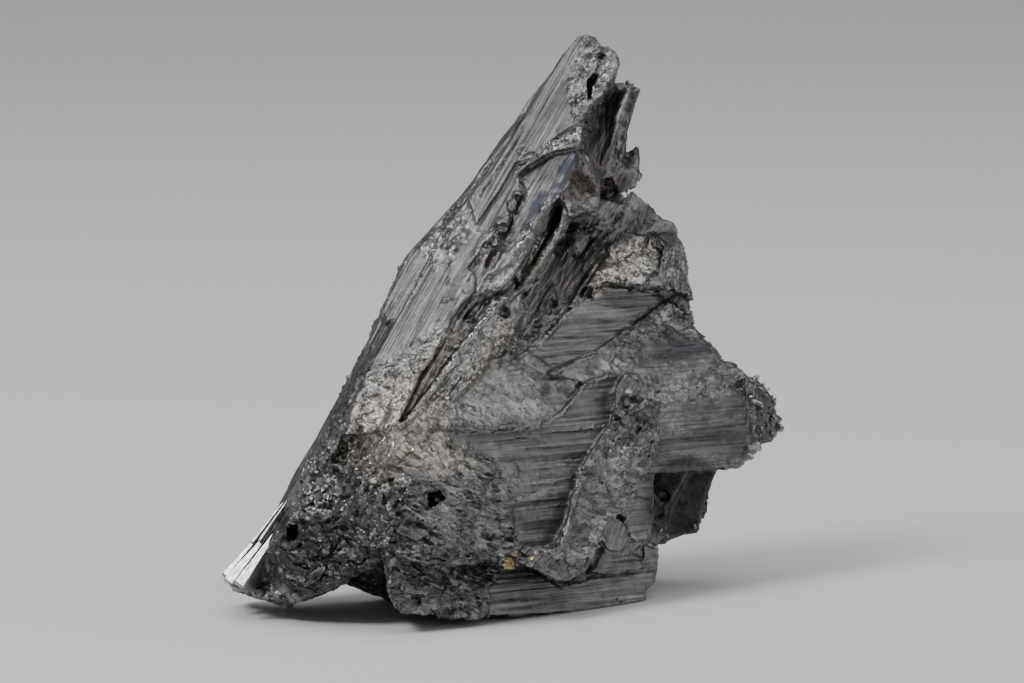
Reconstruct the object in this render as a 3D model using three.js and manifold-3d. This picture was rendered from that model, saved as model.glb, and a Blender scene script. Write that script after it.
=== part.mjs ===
// An andorite specimen: one natural, dark metallic mineral fragment, 50 mm tall.
//
// The fragment is described as it stands in front of a viewer: x runs to the right, z up and y away
// from the viewer, in millimetres. It is first drawn upright on a sheet (x, z, depth) and then leans
// back by LEAN degrees onto its flat base. Everything has grown together, so it is one solid:
//   - a long striated blade that climbs from the lower left to the tip, with a thin rim behind it,
//   - thin ribs and open slots beside the blade, and a hollow behind the ribs,
//   - a stepped, striated wall and block that fill the right half, with a raised crust on the wall,
//   - two coarse granular lumps at the lower left, with a notch between them.
// Each of these is a plate with a drawn outline, a flat face and a skin: how coarse the grain of that
// face is, or how its striations run.

import * as THREE from "three";
import { ConvexGeometry } from "three/addons/geometries/ConvexGeometry.js";
import { mergeVertices } from "three/addons/utils/BufferGeometryUtils.js";
import Module from "manifold-3d";

const wasm = await Module();
wasm.setup();

// Driving dimensions: millimetres and degrees
const LEAN = 8; // how far the drawn front leans back once the fragment rests on its base
const FLOOR_HEIGHT = 0.43; // height of the base plane on the drawing sheet, at depth 0
const WALL_TURN = 39; // the wall turns away to the right by this much
const BLADE_TURN = -16.7; // the blade's face turns slightly to the left
const BLADE_LEAN = 32; // and leans back
const STRIAE_ANGLE = 4; // striations of the wall and the block, up from level
const BLADE_ANGLE = 60.5; // striations of the blade, along its length
const FLANK_TILT = 32; // the left flank leans over to the right by this much
const FLANK_DEPTH = -4; // the depth at which its lower end stands out the furthest
const FLANK_RISE = 0.2; // and how much deeper that is, per millimetre along the upper half
const NEAR = -24; // in front of everything
const FAR = 24; // behind everything
const PLINTH_SIZE = 120; // larger than the fragment: the block that trims its base

const radians = THREE.MathUtils.degToRad;

// Skins. `along` and `across` are the size of one grain, `rough` how far single grains stand out,
// `stripe` how far whole rows stand out, `swell` the height of the slow waves under them.
const COARSE = { heading: -22, along: 2.2, across: 1.6, rough: 0.45, stripe: 0.18, swell: 0.5 };
const GRAINY = { heading: -12, along: 2, across: 1.3, rough: 0.3, stripe: 0.16, swell: 0.35 };
const FINE = { heading: 56, along: 2.6, across: 1.6, rough: 0.18, stripe: 0.1, swell: 0.22 };
const SMOOTH = { heading: 14, along: 3.2, across: 2.2, rough: 0.13, stripe: 0.05, swell: 0.18 };
const LEVEL_STRIAE = { heading: STRIAE_ANGLE, along: 7, across: 0.9, rough: 0.05, stripe: 0.17, swell: 0.14 };
const STEEP_STRIAE = { heading: BLADE_ANGLE, along: 9, across: 1.02, rough: 0.04, stripe: 0.14, swell: 0.12 };
const FLANK_STRIAE = { heading: 91, along: 8, across: 1.3, rough: 0.08, stripe: 0.22, swell: 0.25 };
const RAGGED = { heading: 52, along: 2.4, across: 1.5, rough: 0.34, stripe: 0.2, swell: 0.4 };
const BACK_STRIAE = { heading: 12, along: 7, across: 1.9, rough: 0.1, stripe: 0.25, swell: 0.5 };
const BROKEN = { heading: 30, along: 4.8, across: 3.4, rough: 0.4, stripe: 0.2, swell: 0.7 };

// ---- Small tools -------------------------------------------------------------------------------

// A repeatable source of random numbers from 0 to 1.
function randomSource(seed) {
  let state = seed;
  return () => {
    state = (state + 0x6d2b79f5) | 0;
    let t = Math.imul(state ^ (state >>> 15), 1 | state);
    t = (t + Math.imul(t ^ (t >>> 7), 61 | t)) ^ t;
    return ((t ^ (t >>> 14)) >>> 0) / 4294967296;
  };
}

const random = randomSource(20);

// Turns a closed three.js geometry into a solid.
function solidOf(geometry) {
  const bare = geometry.clone();
  bare.deleteAttribute("normal");
  bare.deleteAttribute("uv");
  const merged = mergeVertices(bare, 1e-4);
  return new wasm.Manifold(
    new wasm.Mesh({
      numProp: 3,
      vertProperties: merged.attributes.position.array,
      triVerts: new Uint32Array(merged.index.array),
    }),
  );
}

function indexedSolid(positions, indices) {
  const geometry = new THREE.BufferGeometry();
  geometry.setAttribute("position", new THREE.Float32BufferAttribute(positions, 3));
  geometry.setIndex(indices);
  return solidOf(geometry);
}

const join = (solids) => solids.reduce((whole, piece) => whole.add(piece));

// A flat face: the point that it passes through, how far it turns away to the right and how far it
// leans back, in degrees. It gives the depth of any other point of that face.
function face(x, z, depth, turn, lean) {
  const across = Math.tan(radians(turn));
  const upwards = Math.tan(radians(lean));
  return (px, pz) => depth + (px - x) * across + (pz - z) * upwards;
}

// The same face, moved back by some depth (a negative value brings it forwards).
const behind = (plane, distance) => (x, z) => plane(x, z) + distance;

// Faces that meet in an outward edge, and faces that meet in an inward corner.
const outward = (...planes) => (x, z) => Math.max(...planes.map((plane) => plane(x, z)));
const inward = (...planes) => (x, z) => Math.min(...planes.map((plane) => plane(x, z)));

// A block with a drawn outline. It runs straight from the open side to the face, and then narrows to
// its inner end. Depths may be numbers or faces.
function block(outline, open, front, inner, taper) {
  const ring = outline.map(([x, z]) => new THREE.Vector2(x, z));
  if (THREE.ShapeUtils.isClockWise(ring)) ring.reverse();
  const count = ring.length;
  const centre = ring.reduce((sum, p) => sum.add(p), new THREE.Vector2()).divideScalar(count);
  const narrow = ring.map((p) => p.clone().sub(centre).multiplyScalar(taper).add(centre));
  const levels = [[ring, open], [ring, front], [narrow, inner]];
  if (open > 0) levels.reverse();
  const positions = [];
  for (const [points, depth] of levels) {
    for (const p of points) positions.push(p.x, typeof depth === "number" ? depth : depth(p.x, p.y), p.y);
  }
  const indices = [];
  for (const [a, b, c] of THREE.ShapeUtils.triangulateShape(open > 0 ? narrow : ring, [])) {
    indices.push(a, b, c, 2 * count + a, 2 * count + c, 2 * count + b);
  }
  for (let i = 0; i < count; i++) {
    const j = (i + 1) % count;
    for (const k of [0, count]) {
      indices.push(k + i, k + count + i, k + j, k + j, k + count + i, k + count + j);
    }
  }
  return indexedSolid(positions, indices);
}

// The grid points of a skin over an outline: uneven rows that run along the skin's heading.
function skinPoints(outline, skin) {
  const cos = Math.cos(radians(skin.heading));
  const sin = Math.sin(radians(skin.heading));
  const s = outline.map(([x, z]) => x * cos + z * sin);
  const t = outline.map(([x, z]) => z * cos - x * sin);
  const [s0, t0] = [Math.min(...s) - 1, Math.min(...t) - 1];
  const columns = Math.ceil((Math.max(...s) + 1 - s0) / skin.along);
  const rows = Math.ceil((Math.max(...t) + 1 - t0) / skin.across);
  const phases = [random() * 6, random() * 6, random() * 6];
  const points = [];
  for (let j = 0; j <= rows; j++) {
    const rowLift = skin.stripe * (2 * random() - 1);
    const rowShift = random() - 0.5;
    for (let i = 0; i <= columns; i++) {
      const along = s0 + (i + 0.5 * rowShift + 0.4 * (random() - 0.5)) * skin.along;
      const across = t0 + (j + 0.5 * (random() - 0.5)) * skin.across;
      const x = along * cos - across * sin;
      const z = along * sin + across * cos;
      const wave = Math.sin(0.55 * x + phases[0]) + Math.sin(0.7 * z - 0.2 * x + phases[1])
        + Math.sin(1.3 * x + 1.1 * z + phases[2]);
      const lift = rowLift + skin.rough * (2 * random() - 1) + (skin.swell * wave) / 3;
      points.push({ x, z, lift });
    }
  }
  return { points, columns, rows };
}

// A sheet of uneven ground that covers an outline, between a front and a back depth.
function ground(outline, front, back, skin) {
  const { points, columns, rows } = skinPoints(outline, skin);
  const count = points.length;
  const positions = [
    ...points.flatMap(({ x, z, lift }) => [x, front(x, z, lift), z]),
    ...points.flatMap(({ x, z, lift }) => [x, back(x, z, lift), z]),
  ];
  const indices = [];
  const wall = (a, b) => indices.push(a, count + a, b, b, count + a, count + b);
  const width = columns + 1;
  for (let j = 0; j < rows; j++) {
    for (let i = 0; i < columns; i++) {
      const a = j * width + i;
      const [b, c, d] = [a + 1, a + width + 1, a + width];
      const split = (i + j) % 2 ? [a, b, c, a, c, d] : [a, b, d, b, c, d];
      indices.push(...split);
      for (let k = 0; k < 6; k += 3) {
        indices.push(count + split[k], count + split[k + 2], count + split[k + 1]);
      }
    }
  }
  for (let i = 0; i < columns; i++) {
    wall(i, i + 1);
    wall(rows * width + i + 1, rows * width + i);
  }
  for (let j = 0; j < rows; j++) {
    wall(j * width + columns, (j + 1) * width + columns);
    wall((j + 1) * width, j * width);
  }
  return indexedSolid(positions, indices);
}

// A plate: an outline, a front face with a skin, and a flat inner end.
function plate(outline, front, inner, skin, taper = 1) {
  const body = block(outline, NEAR, front, inner, taper);
  return body.intersect(ground(outline, (x, z, lift) => front(x, z) + lift, () => FAR, skin));
}

// A plate that faces the back of the fragment.
function backPlate(outline, back, skin, taper = 0.94) {
  const body = block(outline, FAR, back, behind(back, -5), taper);
  return body.intersect(ground(outline, () => NEAR, (x, z, lift) => back(x, z) + lift, skin));
}

// A convex shard through drawn points, each [x, z, depth].
function shard(points) {
  return solidOf(new ConvexGeometry(points.map(([x, z, depth]) => new THREE.Vector3(x, depth, z))));
}

// A thin wall that follows a crest line of [x, z, depth] points, with a sharp crest and a wide foot.
function rib(crest, width, foot) {
  const positions = [];
  crest.forEach(([x, z, depth], i) => {
    const [ax, az] = crest[Math.max(0, i - 1)];
    const [bx, bz] = crest[Math.min(crest.length - 1, i + 1)];
    const length = Math.hypot(bx - ax, bz - az);
    const sideX = ((bz - az) / length) * width;
    const sideZ = (-(bx - ax) / length) * width;
    const uneven = 0.16 + 0.16 * random();
    positions.push(x - uneven * sideX, depth + 0.12, z - uneven * sideZ);
    positions.push(x + uneven * sideX, depth, z + uneven * sideZ);
    positions.push(x + sideX, depth + foot, z + sideZ);
    positions.push(x - sideX, depth + foot, z - sideZ);
  });
  const indices = [];
  for (let i = 0; i + 1 < crest.length; i++) {
    for (let k = 0; k < 4; k++) {
      const a = 4 * i + k;
      const b = 4 * i + ((k + 1) % 4);
      indices.push(a, b, a + 4, b, b + 4, a + 4);
    }
  }
  const last = 4 * (crest.length - 1);
  indices.push(0, 2, 1, 0, 3, 2, last, last + 1, last + 2, last, last + 2, last + 3);
  return indexedSolid(positions, indices);
}

// ---- The faces that the fragment is built on ------------------------------------------------------

const baseWall = face(0, 0.3, -7.2, WALL_TURN, 14);
const mainWall = face(0, 4.4, -8.6, WALL_TURN, 6.5);
const crustFace = face(4.7, 2.8, -8.3, 40, 12);
const slopeFace = face(-8, 16.5, -13.4, 38.5, 35);
const shoulderFace = face(3.5, 21.5, -0.5, 35, 26);
const rightFace = face(14, 15, 3.2, 37, 7);
const rightSlope = face(15, 18.3, 4.5, 35, 30);
const endFace = face(21.8, 16, 9.2, 58, 4);
const bladeFace = face(-9.5, 16.5, -13.5, BLADE_TURN, BLADE_LEAN);
const hollowFace = face(3, 28, 2.8, 38, 24);
const moundFace = face(10, 29, 5.4, 20, 36);
const leftSide = inward(face(-14, 8, -9.4, -26, 6), face(-14, 8, -9.6, -50, 3));
const sideStrip = face(-20, 8.5, -3.4, -63, 31);
const sliverFace = face(-22.6, 3, -3, -30, -8);
const endStrip = face(11.9, 4, 3, 56, 4);

// ---- The buried core and the back ------------------------------------------------------------------

function core() {
  return [
    // lower body
    shard([
      [-8.4, 4.6, -10.6], [-8.4, 14, -10], [2, 1.6, -2], [9.5, 2, 4.2], [11, 11, 4.6], [-15.5, 9.6, -4.4],
      [-16.5, 4.6, -5.4], [-19, 4.4, -1], [-12, 6.6, 3], [-7, -0.5, 0], [-6.4, -0.5, 7], [9, 0, 10],
      [11.5, 6, 11.4], [14, 12.6, 12.4], [13, 22.4, 12], [0, 12, 11.4], [-8.4, 19, 2.6], [-14.4, 12.6, -0.6],
    ]),
    // behind the blade
    shard([
      [-12, 18, -6.6], [-8, 27.6, -3.4], [-3.6, 34.6, -0.4], [-9, 18, -8.6], [-5, 20, -5], [-4, 26, -1.6],
      [-1, 32, 1.4], [2, 37.6, 3.6], [-8.4, 21.6, 1.4], [-4, 30, 5.4], [3, 30, 10], [2, 22, 9], [3, 37.6, 7],
    ]),
    // behind the hollow and the shoulder
    shard([
      [0, 20.4, 0.4], [8, 23, 7], [13, 24.6, 11], [14, 29.6, 11.8], [12.2, 33.4, 11.8], [10.2, 36.6, 11.4],
      [6, 34, 9.6], [2, 28, 6.2], [5, 30, 11.8], [12, 24, 12.6], [-2, 26, 6], [4, 37.6, 8.4], [9, 37, 11.6],
    ]),
    // spine of the tip
    shard([
      [-2.6, 34, -1], [0.9, 40.4, 0.8], [4.6, 47, 3.6], [6.4, 49, 4.4], [8.4, 48.2, 4],
      [7.6, 43.8, 2], [6.2, 37, 0.2], [1.8, 38, 6], [6.2, 46.2, 6.6], [8, 46.8, 6], [9.2, 40, 7.8],
      [10, 37, 9.8],
    ]),
    // far right
    shard([
      [12, 13.4, 7], [20, 13.8, 11], [21, 16, 11.8], [19.8, 20, 12], [14, 25.4, 11.6],
      [12, 20, 8.6], [19.2, 14.4, 13], [18.8, 18.3, 13.4], [12.5, 15, 13.4], [13.2, 23, 13],
    ]),
    // tail of the blade behind the left lump
    shard([
      [-22.8, 2.6, -1.6], [-20.3, 3.2, -4], [-17, 6, -5.6], [-15.3, 13.2, -6.4], [-16.6, 13, -2.6],
      [-20.2, 7.2, -0.4], [-22, 4.3, -0.8], [-14, 12, 1.2], [-16, 7, 1.8], [-19.2, 4.2, 0.8],
    ]),
  ];
}

// The back is broken like the front: flat steps that climb towards the tip.
function backSteps() {
  const steep = { ...BACK_STRIAE, heading: BLADE_ANGLE };
  return [
    backPlate([[-5, 0.4], [8.6, 0.2], [11, 7], [8, 14], [-2, 15], [-8, 8]], face(2, 8, 12.8, 8, -10), BROKEN),
    backPlate([[-14.6, 5], [-8, 2.4], [-3, 12], [-5, 21], [-10, 20.6], [-14.6, 12.6]], face(-9, 11, 6, 38, 8), BROKEN),
    backPlate([[-18.6, 4], [-13.4, 4.6], [-12.6, 13], [-15.6, 14.8], [-19, 9.4]], face(-16, 8, 3, 30, 4), BROKEN),
    backPlate([[-2, 13], [8, 12], [12.4, 19], [9.4, 27], [1, 28], [-4, 21]], face(4, 20, 12.8, 12, 8), BACK_STRIAE),
    backPlate([[6, 4.6], [13.2, 6.6], [16.6, 13], [14, 18], [8, 17]], face(11, 12, 14.2, -14, -8), BROKEN),
    backPlate([[-8.6, 18.6], [0, 18], [5, 26], [2, 34.6], [-4.4, 32.4], [-8.8, 26]], face(-1, 26, 8.4, 40, 2), steep),
    backPlate([[2, 26], [10, 25], [14, 29], [11, 35.6], [5, 37.4], [1, 32]], face(7, 31, 12.4, 10, -16), BROKEN),
    backPlate([[-2, 33], [4, 32], [9, 39], [8.6, 46], [5.4, 47], [1.2, 41]], face(4, 40, 7.6, 18, -4), steep),
    backPlate([[12.6, 13.6], [19.4, 14.2], [21, 18], [17.4, 22.8], [12.8, 22.6]], face(17, 18, 14.6, -18, 6), BACK_STRIAE),
  ];
}

// ---- The wall ------------------------------------------------------------------------------------

// The two lowest courses. Only here does the front reach the ground.
function lowestCourses() {
  return [
    plate(
      [[-4.5, 0], [1, 0.02], [5, 0.1], [9.7, 0.2], [12, 0.4], [11.9, 1.7], [12.7, 2.4], [12.9, 5.6],
        [11.7, 6.6], [-1, 7.5], [-4.5, 5]],
      baseWall, 11, LEVEL_STRIAE,
    ),
    plate(
      [[7.2, 3.5], [9.2, 3.4], [11.7, 3.6], [11.9, 6.6], [10.3, 7.4], [8, 7.4], [7, 5.2]],
      behind(baseWall, -1.2), 6, LEVEL_STRIAE,
    ),
    // bright end strip, turned to the right
    plate([[11.8, 2.3], [12.85, 2.4], [12.95, 5.6], [11.8, 5.7]], endStrip, 9, LEVEL_STRIAE),
  ];
}

// The wall in the middle: granular towards the left corner, striated to the right of it.
function middleWall() {
  return [
    plate(
      [[-18.4, 7.4], [-18.2, 9.4], [-17.4, 11.8], [-16.4, 13.4], [-14.9, 15.4], [-12.4, 16.4], [-9.3, 16.5],
        [-4, 16.3], [-1.4, 15.2], [0.9, 12.6], [0.2, 9.4], [0.8, 6.4], [-1, 4.8], [-7, 4.6], [-10.2, 5.6],
        [-12, 5.6], [-15.5, 7]],
      outward(leftSide, mainWall), 3, GRAINY,
    ),
    plate(
      [[-5.4, 16.1], [-3, 14.6], [-0.6, 11], [-0.8, 4.4], [4.5, 4.4], [8, 6.2], [11.8, 6.2], [12.6, 7.4],
        [12.7, 12.2], [13.2, 15], [12, 19], [9.5, 20.7], [6.5, 19.9], [5, 17.9], [3.3, 16.3], [0, 16]],
      mainWall, 8, LEVEL_STRIAE,
    ),
  ];
}

// The smooth slope that climbs back from the wall's crest, and the striated face above it.
function slopes() {
  return [
    plate(
      [[-9.7, 16.2], [-4, 15.9], [0, 15.7], [3.4, 16], [5.3, 17.4], [6.8, 19.4], [9.5, 20.2], [8.5, 22.6],
        [3.5, 21.4], [1.2, 22.9], [-1.5, 21.9], [-4, 20.4], [-6.4, 18.6]],
      slopeFace, 8, SMOOTH,
    ),
    plate(
      [[1.2, 22.2], [3.5, 21], [7.5, 22.3], [11, 24.9], [14, 27.1], [14.4, 28.3], [12, 28.5], [9, 29],
        [7.3, 28.6], [5.5, 26.4]],
      shoulderFace, 11.4, LEVEL_STRIAE,
    ),
  ];
}

// A raised crust that hangs over the lowest course, with its folds and lobes.
function crust() {
  return [
    plate(
      [[4.4, 2.9], [5.4, 3.0], [6.6, 3.7], [7.4, 5.1], [8.3, 7.2], [9.6, 8.6], [10.5, 9.9], [11.2, 11.6],
        [12.4, 12.9], [13.3, 14.8], [12.7, 16.6], [11.9, 18.2], [9.4, 18.4], [8.9, 16.6], [8, 15.2],
        [6.9, 13.6], [6, 11.9], [5.4, 9.6], [4.9, 7.6], [4, 5.8], [2.2, 5.1], [0.9, 4.7], [2.6, 3.9]],
      outward(crustFace, behind(mainWall, -1.6)), 6, RAGGED,
    ),
    // folded left margin
    plate(
      [[0.9, 4.7], [2.6, 3.8], [4.4, 2.9], [5.2, 3.4], [4.6, 5.6], [5.6, 8.4], [6.4, 11.4], [5.5, 10.4],
        [4.9, 7.8], [3.9, 6]],
      behind(crustFace, 0.3), 4, RAGGED,
    ),
    // shell-like lobes at the right margin
    plate(
      [[8.3, 6], [8.2, 7.3], [8.9, 8.15], [9.8, 8.1], [10.35, 7.3], [10.3, 6.3], [9.6, 5.5], [8.7, 5.4]],
      behind(mainWall, -1.45), 5, FINE,
    ),
    plate(
      [[10.2, 6.9], [10.1, 8.7], [10.9, 10.1], [12.4, 9.6], [12.5, 8], [11.9, 6.3], [11, 6.2]],
      behind(mainWall, -0.9), 6, LEVEL_STRIAE,
    ),
    // nub at the upper end
    plate(
      [[9.2, 17.2], [9.3, 19.4], [10, 20.7], [11.2, 20.6], [11.7, 19.6], [11.2, 18.9], [10.2, 18.4]],
      behind(mainWall, -2), 5, FINE,
    ),
  ];
}

// ---- The right block -------------------------------------------------------------------------------

function rightBlock() {
  return [
    plate(
      [[11.8, 12], [16.7, 12.15], [20.1, 12.6], [21.3, 13.3], [21.8, 15], [21.9, 17.5], [21.6, 19.2],
        [18.5, 19.1], [15, 18.3], [12.5, 17.6]],
      rightFace, 12.4, LEVEL_STRIAE,
    ),
    plate(
      [[10, 20.8], [12.5, 17.4], [15, 18.2], [18.5, 19], [21.6, 19.1], [20.8, 20.7], [19.9, 21.4],
        [18.9, 21.6], [17.3, 23.4], [15.9, 25.1], [14.7, 26.3], [14, 27.1], [11, 25.1], [7.5, 22.6],
        [3.3, 20.8], [6.3, 20], [9, 19.8]],
      rightSlope, 12.4, GRAINY,
    ),
    // low step on that slope
    plate(
      [[15, 20.2], [17.5, 20.8], [20.9, 20.3], [19.9, 21.5], [18.9, 21.65], [17.2, 23.4], [14.6, 23],
        [13, 21.2]],
      behind(rightSlope, -0.5), 11.4, LEVEL_STRIAE,
    ),
    // sparkling broken end, far right
    plate(
      [[21.2, 13.3], [22.3, 14.4], [23.4, 15], [24, 16.4], [23.3, 17.9], [22.7, 19.1], [21.7, 20.2],
        [20.8, 20.4]],
      endFace, 13.4, { ...FINE, rough: 0.4 }, 0.85,
    ),
  ];
}

// The darker block that shows below and behind the right block.
function rearBlock() {
  return [
    plate(
      [[12, 5.9], [13.9, 6], [16.8, 6.8], [17.2, 8.7], [17.8, 10.6], [18.6, 12.3], [19.6, 14], [12, 14]],
      face(16, 8, 10.8, 8, 14), 13.4, SMOOTH,
    ),
    plate(
      [[12, 5.7], [13.3, 6], [13.9, 7.2], [14.1, 8.7], [13.3, 10.1], [12.4, 10.6], [11.6, 8]],
      face(12.6, 8, 5.4, 52, 6), 11.4, FINE,
    ),
  ];
}

// ---- The shoulder and the fins at the upper right ---------------------------------------------------

function fin(x, z, depth, length, width) {
  const heading = radians(57);
  const crest = [0, 0.2, 0.4, 0.6, 0.8, 1].map((t, i) => [
    x + Math.cos(heading) * length * t + 0.2 * (random() - 0.5),
    z + Math.sin(heading) * length * t,
    depth + 0.78 * length * t + (i % 2) * 0.4,
  ]);
  return rib(crest, width, 3.6);
}

function shoulder() {
  return [
    // bright rough mound
    plate(
      [[6.8, 28.3], [8.2, 30.4], [9.4, 31.8], [10.6, 32.5], [11.6, 33.2], [12.8, 33.1], [14.2, 32.3],
        [14.1, 30], [13.8, 28.4], [12, 28.2], [9, 28.8]],
      moundFace, 12, GRAINY,
    ),
    // rightmost strip: rough above, dark below
    plate(
      [[13.2, 28.1], [13.2, 29.7], [13.6, 31.7], [15.3, 32.6], [15.75, 31], [15.9, 29], [15.8, 28.1]],
      face(15, 30, 8.6, 44, 16), 12.4, FINE,
    ),
    plate(
      [[13.6, 28.3], [15.85, 28.3], [15.8, 26.4], [16.1, 24.9], [14.7, 25.6], [13.6, 26.6]],
      face(15, 27, 10.2, 24, 10), 12.4, FINE,
    ),
    // dark facets under the upper corner
    plate(
      [[12.4, 33], [13.8, 31.8], [14.9, 32], [15.1, 33.2], [14.6, 34], [13.5, 34.3], [12.8, 34.2]],
      face(13.8, 33, 8.4, 32, 24), 12, FINE,
    ),
    plate(
      [[11, 36.9], [12.7, 35.1], [13.7, 34.2], [12.4, 32.6], [10.4, 33.2], [9.8, 35.6]],
      face(12, 34.6, 8.6, 26, 26), 12, FINE,
    ),
    fin(-0.6, 21.6, -3.2, 8.4, 0.75),
    fin(5.4, 26.6, 2.8, 9, 0.55),
    fin(8.8, 31.4, 5.8, 4.6, 0.7),
    fin(3.6, 27.2, 2.6, 5, 0.6),
    fin(1.9, 24.4, -0.2, 4.2, 0.5),
    fin(7.2, 33, 5.2, 4.6, 0.55),
    fin(6.4, 30.6, 4.4, 4.4, 0.45),
  ];
}

// The floor of the hollow behind the ribs, with a boulder and a block on it.
function hollow() {
  return [
    plate(
      [[-2.4, 22.4], [0.4, 22.2], [5.5, 26.5], [8.4, 31], [10.6, 35.2], [11.3, 37], [10.8, 38], [9.5, 38.5],
        [7, 38.8], [4, 37], [1, 33], [-2, 28], [-4.4, 24]],
      hollowFace, 12, { ...RAGGED, heading: 57, along: 2.6, rough: 0.5 },
    ),
    shard([
      [5, 31.4, 3.4], [5.4, 33, 3.2], [6.6, 33.4, 4], [6.9, 32, 4], [6.2, 31, 3.6], [5.9, 32.2, 2.4],
      [5.6, 32, 9], [6.3, 32.6, 9],
    ]),
    plate(
      [[4.7, 35.9], [5.1, 37.6], [5.7, 39.4], [6.5, 40.2], [7.2, 39.2], [7.4, 38.2], [7.8, 37.1], [7.9, 36], [7.7, 34.9], [6.4, 34.7],
        [5.2, 34.3]],
      face(6, 36.5, -2.6, 38, 14), 9, FINE,
    ),
    rib([[6, 40.1, -2.4], [6.5, 39.2, -2.2], [7.1, 38.2, -1.6], [7.7, 36.9, -1]], 0.5, 4.5),
  ];
}

// ---- The blade, its rim and the ribs ---------------------------------------------------------------

function blade() {
  return [
    // lower end, granular where it meets the wall
    plate(
      [[-9.6, 16.2], [-12.5, 15.6], [-14.2, 15.6], [-13, 18.9], [-11.7, 21.6], [-10.7, 20.9],
        [-9.9, 23], [-9, 21.8], [-8.1, 24], [-6.9, 22], [-7.6, 20.6], [-8.8, 18]],
      bladeFace, 5, { ...GRAINY, heading: 50 },
    ),
    // middle face
    plate(
      [[-12.6, 21.4], [-11.3, 22.4], [-10.1, 24.6], [-8.5, 27.5],
        [-7.2, 30], [-6.4, 32], [-5.2, 34], [-3.5, 35.8], [-1.5, 38.2], [0, 40.5], [2.4, 42], [5.4, 43],
        [6.6, 42.2], [6.2, 40.4], [4, 40], [2, 39], [0.9, 38.1], [1, 36.6], [0.4, 35], [-0.2, 33.7], [-1.2, 33],
        [-2.2, 31.9], [-3, 30.6], [-3.6, 29.8], [-2.8, 29], [-3, 27.8], [-4, 26.8], [-4.9, 25.5],
        [-5.3, 24.2], [-6.2, 22.8], [-7.5, 20.8], [-8.2, 19.6], [-8.8, 21.2], [-9.6, 19.2], [-10.3, 21.6],
        [-11.2, 19.6]],
      bladeFace, 5, STEEP_STRIAE,
    ),
    // upper face, a step further forward, with a broken lip across it
    plate(
      [[-3.5, 35.9], [-1.5, 38.3], [0, 40.6], [1.15, 42.6], [2.5, 44.9], [3.9, 47.2], [5, 49], [5.9, 50.05],
        [7.4, 50.15], [8.1, 49.4], [7.8, 48], [7.4, 46], [7.2, 44.6], [6.9, 43], [5.8, 42.3], [4.4, 41.5],
        [3.2, 40.4], [2.1, 39.5], [0.6, 39], [-0.6, 36.8], [-2.8, 33.6]],
      behind(bladeFace, -0.55), 6, STEEP_STRIAE,
    ),
    // rough column at the tip's right side
    plate(
      [[7.1, 43.2], [8.1, 44.6], [8.7, 45.5], [9.2, 46.5], [9.6, 47.8], [9.3, 48.7], [8.7, 49.4], [7.9, 49.3],
        [7.3, 47], [6.9, 44.6], [6.2, 41], [6.9, 41.4]],
      behind(bladeFace, 0.4), 6.5, FINE,
    ),
    // granular flank that steps down to the valley
    plate(
      [[-9.4, 16.6], [-8.2, 18], [-6.8, 20.4], [-5.4, 22.4], [-4.4, 24.2], [-3.8, 25.8], [-2.4, 27.4],
        [-1.9, 28.8], [-3.4, 30.6], [-6, 27], [-9, 21], [-10.4, 17.6]],
      behind(bladeFace, 1.3), 4, { ...FINE, rough: 0.3 },
    ),
    // middle blade, between the two slots
    plate(
      [[0.9, 38.4], [2.2, 39.3], [4, 40.1], [5.3, 40.6], [6.1, 39.9], [5.7, 38.2], [5.2, 37], [4.5, 36.2],
        [3.7, 35.3], [3, 34.1], [2.3, 32.8], [1.6, 31.4], [0.9, 30], [0.3, 29], [-0.4, 28.3], [-1.4, 27.9],
        [-3.2, 27.4], [-3.8, 29.8], [-2, 32], [0, 35]],
      behind(bladeFace, 0.9), 5, { ...FINE, rough: 0.12, swell: 0.1 },
    ),
    // tail of the blade: the bright striated sliver at the far left
    plate(
      [[-24.1, 2.2], [-24.1, 3.1], [-23.2, 4.1], [-22.3, 4.8], [-21.2, 6.1], [-20, 8], [-19, 10.1],
        [-18.1, 11.7], [-17.4, 11.2], [-18.5, 9.2], [-19.7, 6.7], [-20.9, 4.4], [-22.2, 1.9], [-23, 2]],
      sliverFace, 1.4, STEEP_STRIAE,
    ),
  ];
}

// A thin parallel crystal behind the blade. The flank trims its left side.
function rim() {
  const against = (plane) => outward(plane, behind(bladeFace, 0.6));
  return [
    plate(
      [[-23, 4], [-20.4, 10], [-18.4, 14.2], [-15.8, 19], [-13.4, 18], [-14.6, 14.6], [-17.4, 11], [-19.6, 7]],
      sideStrip, 1, STEEP_STRIAE,
    ),
    plate(
      [[-16, 17], [-13.8, 22.8], [-11.4, 27.4], [-10, 31.4], [-8.8, 32.6], [-5.2, 31], [-9, 24], [-13, 15.5]],
      against(face(-14.3, 19, -8.4, -45, 41)), 3, STEEP_STRIAE,
    ),
    plate(
      [[-9.2, 28.2], [-9.4, 32], [-7, 34.8], [-4, 38], [-1, 41.6], [1, 44], [2.4, 42], [-2, 34], [-6, 28]],
      against(face(-8.4, 31.4, -2.9, -45, 49.5)), 5, STEEP_STRIAE,
    ),
    plate(
      [[-0.2, 42.6], [2.4, 47], [4, 49.2], [5.4, 49.4], [5.4, 46.6], [3, 42]],
      against(face(0.9, 42.6, 1.6, -45, 48)), 6, STEEP_STRIAE,
    ),
  ];
}

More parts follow.
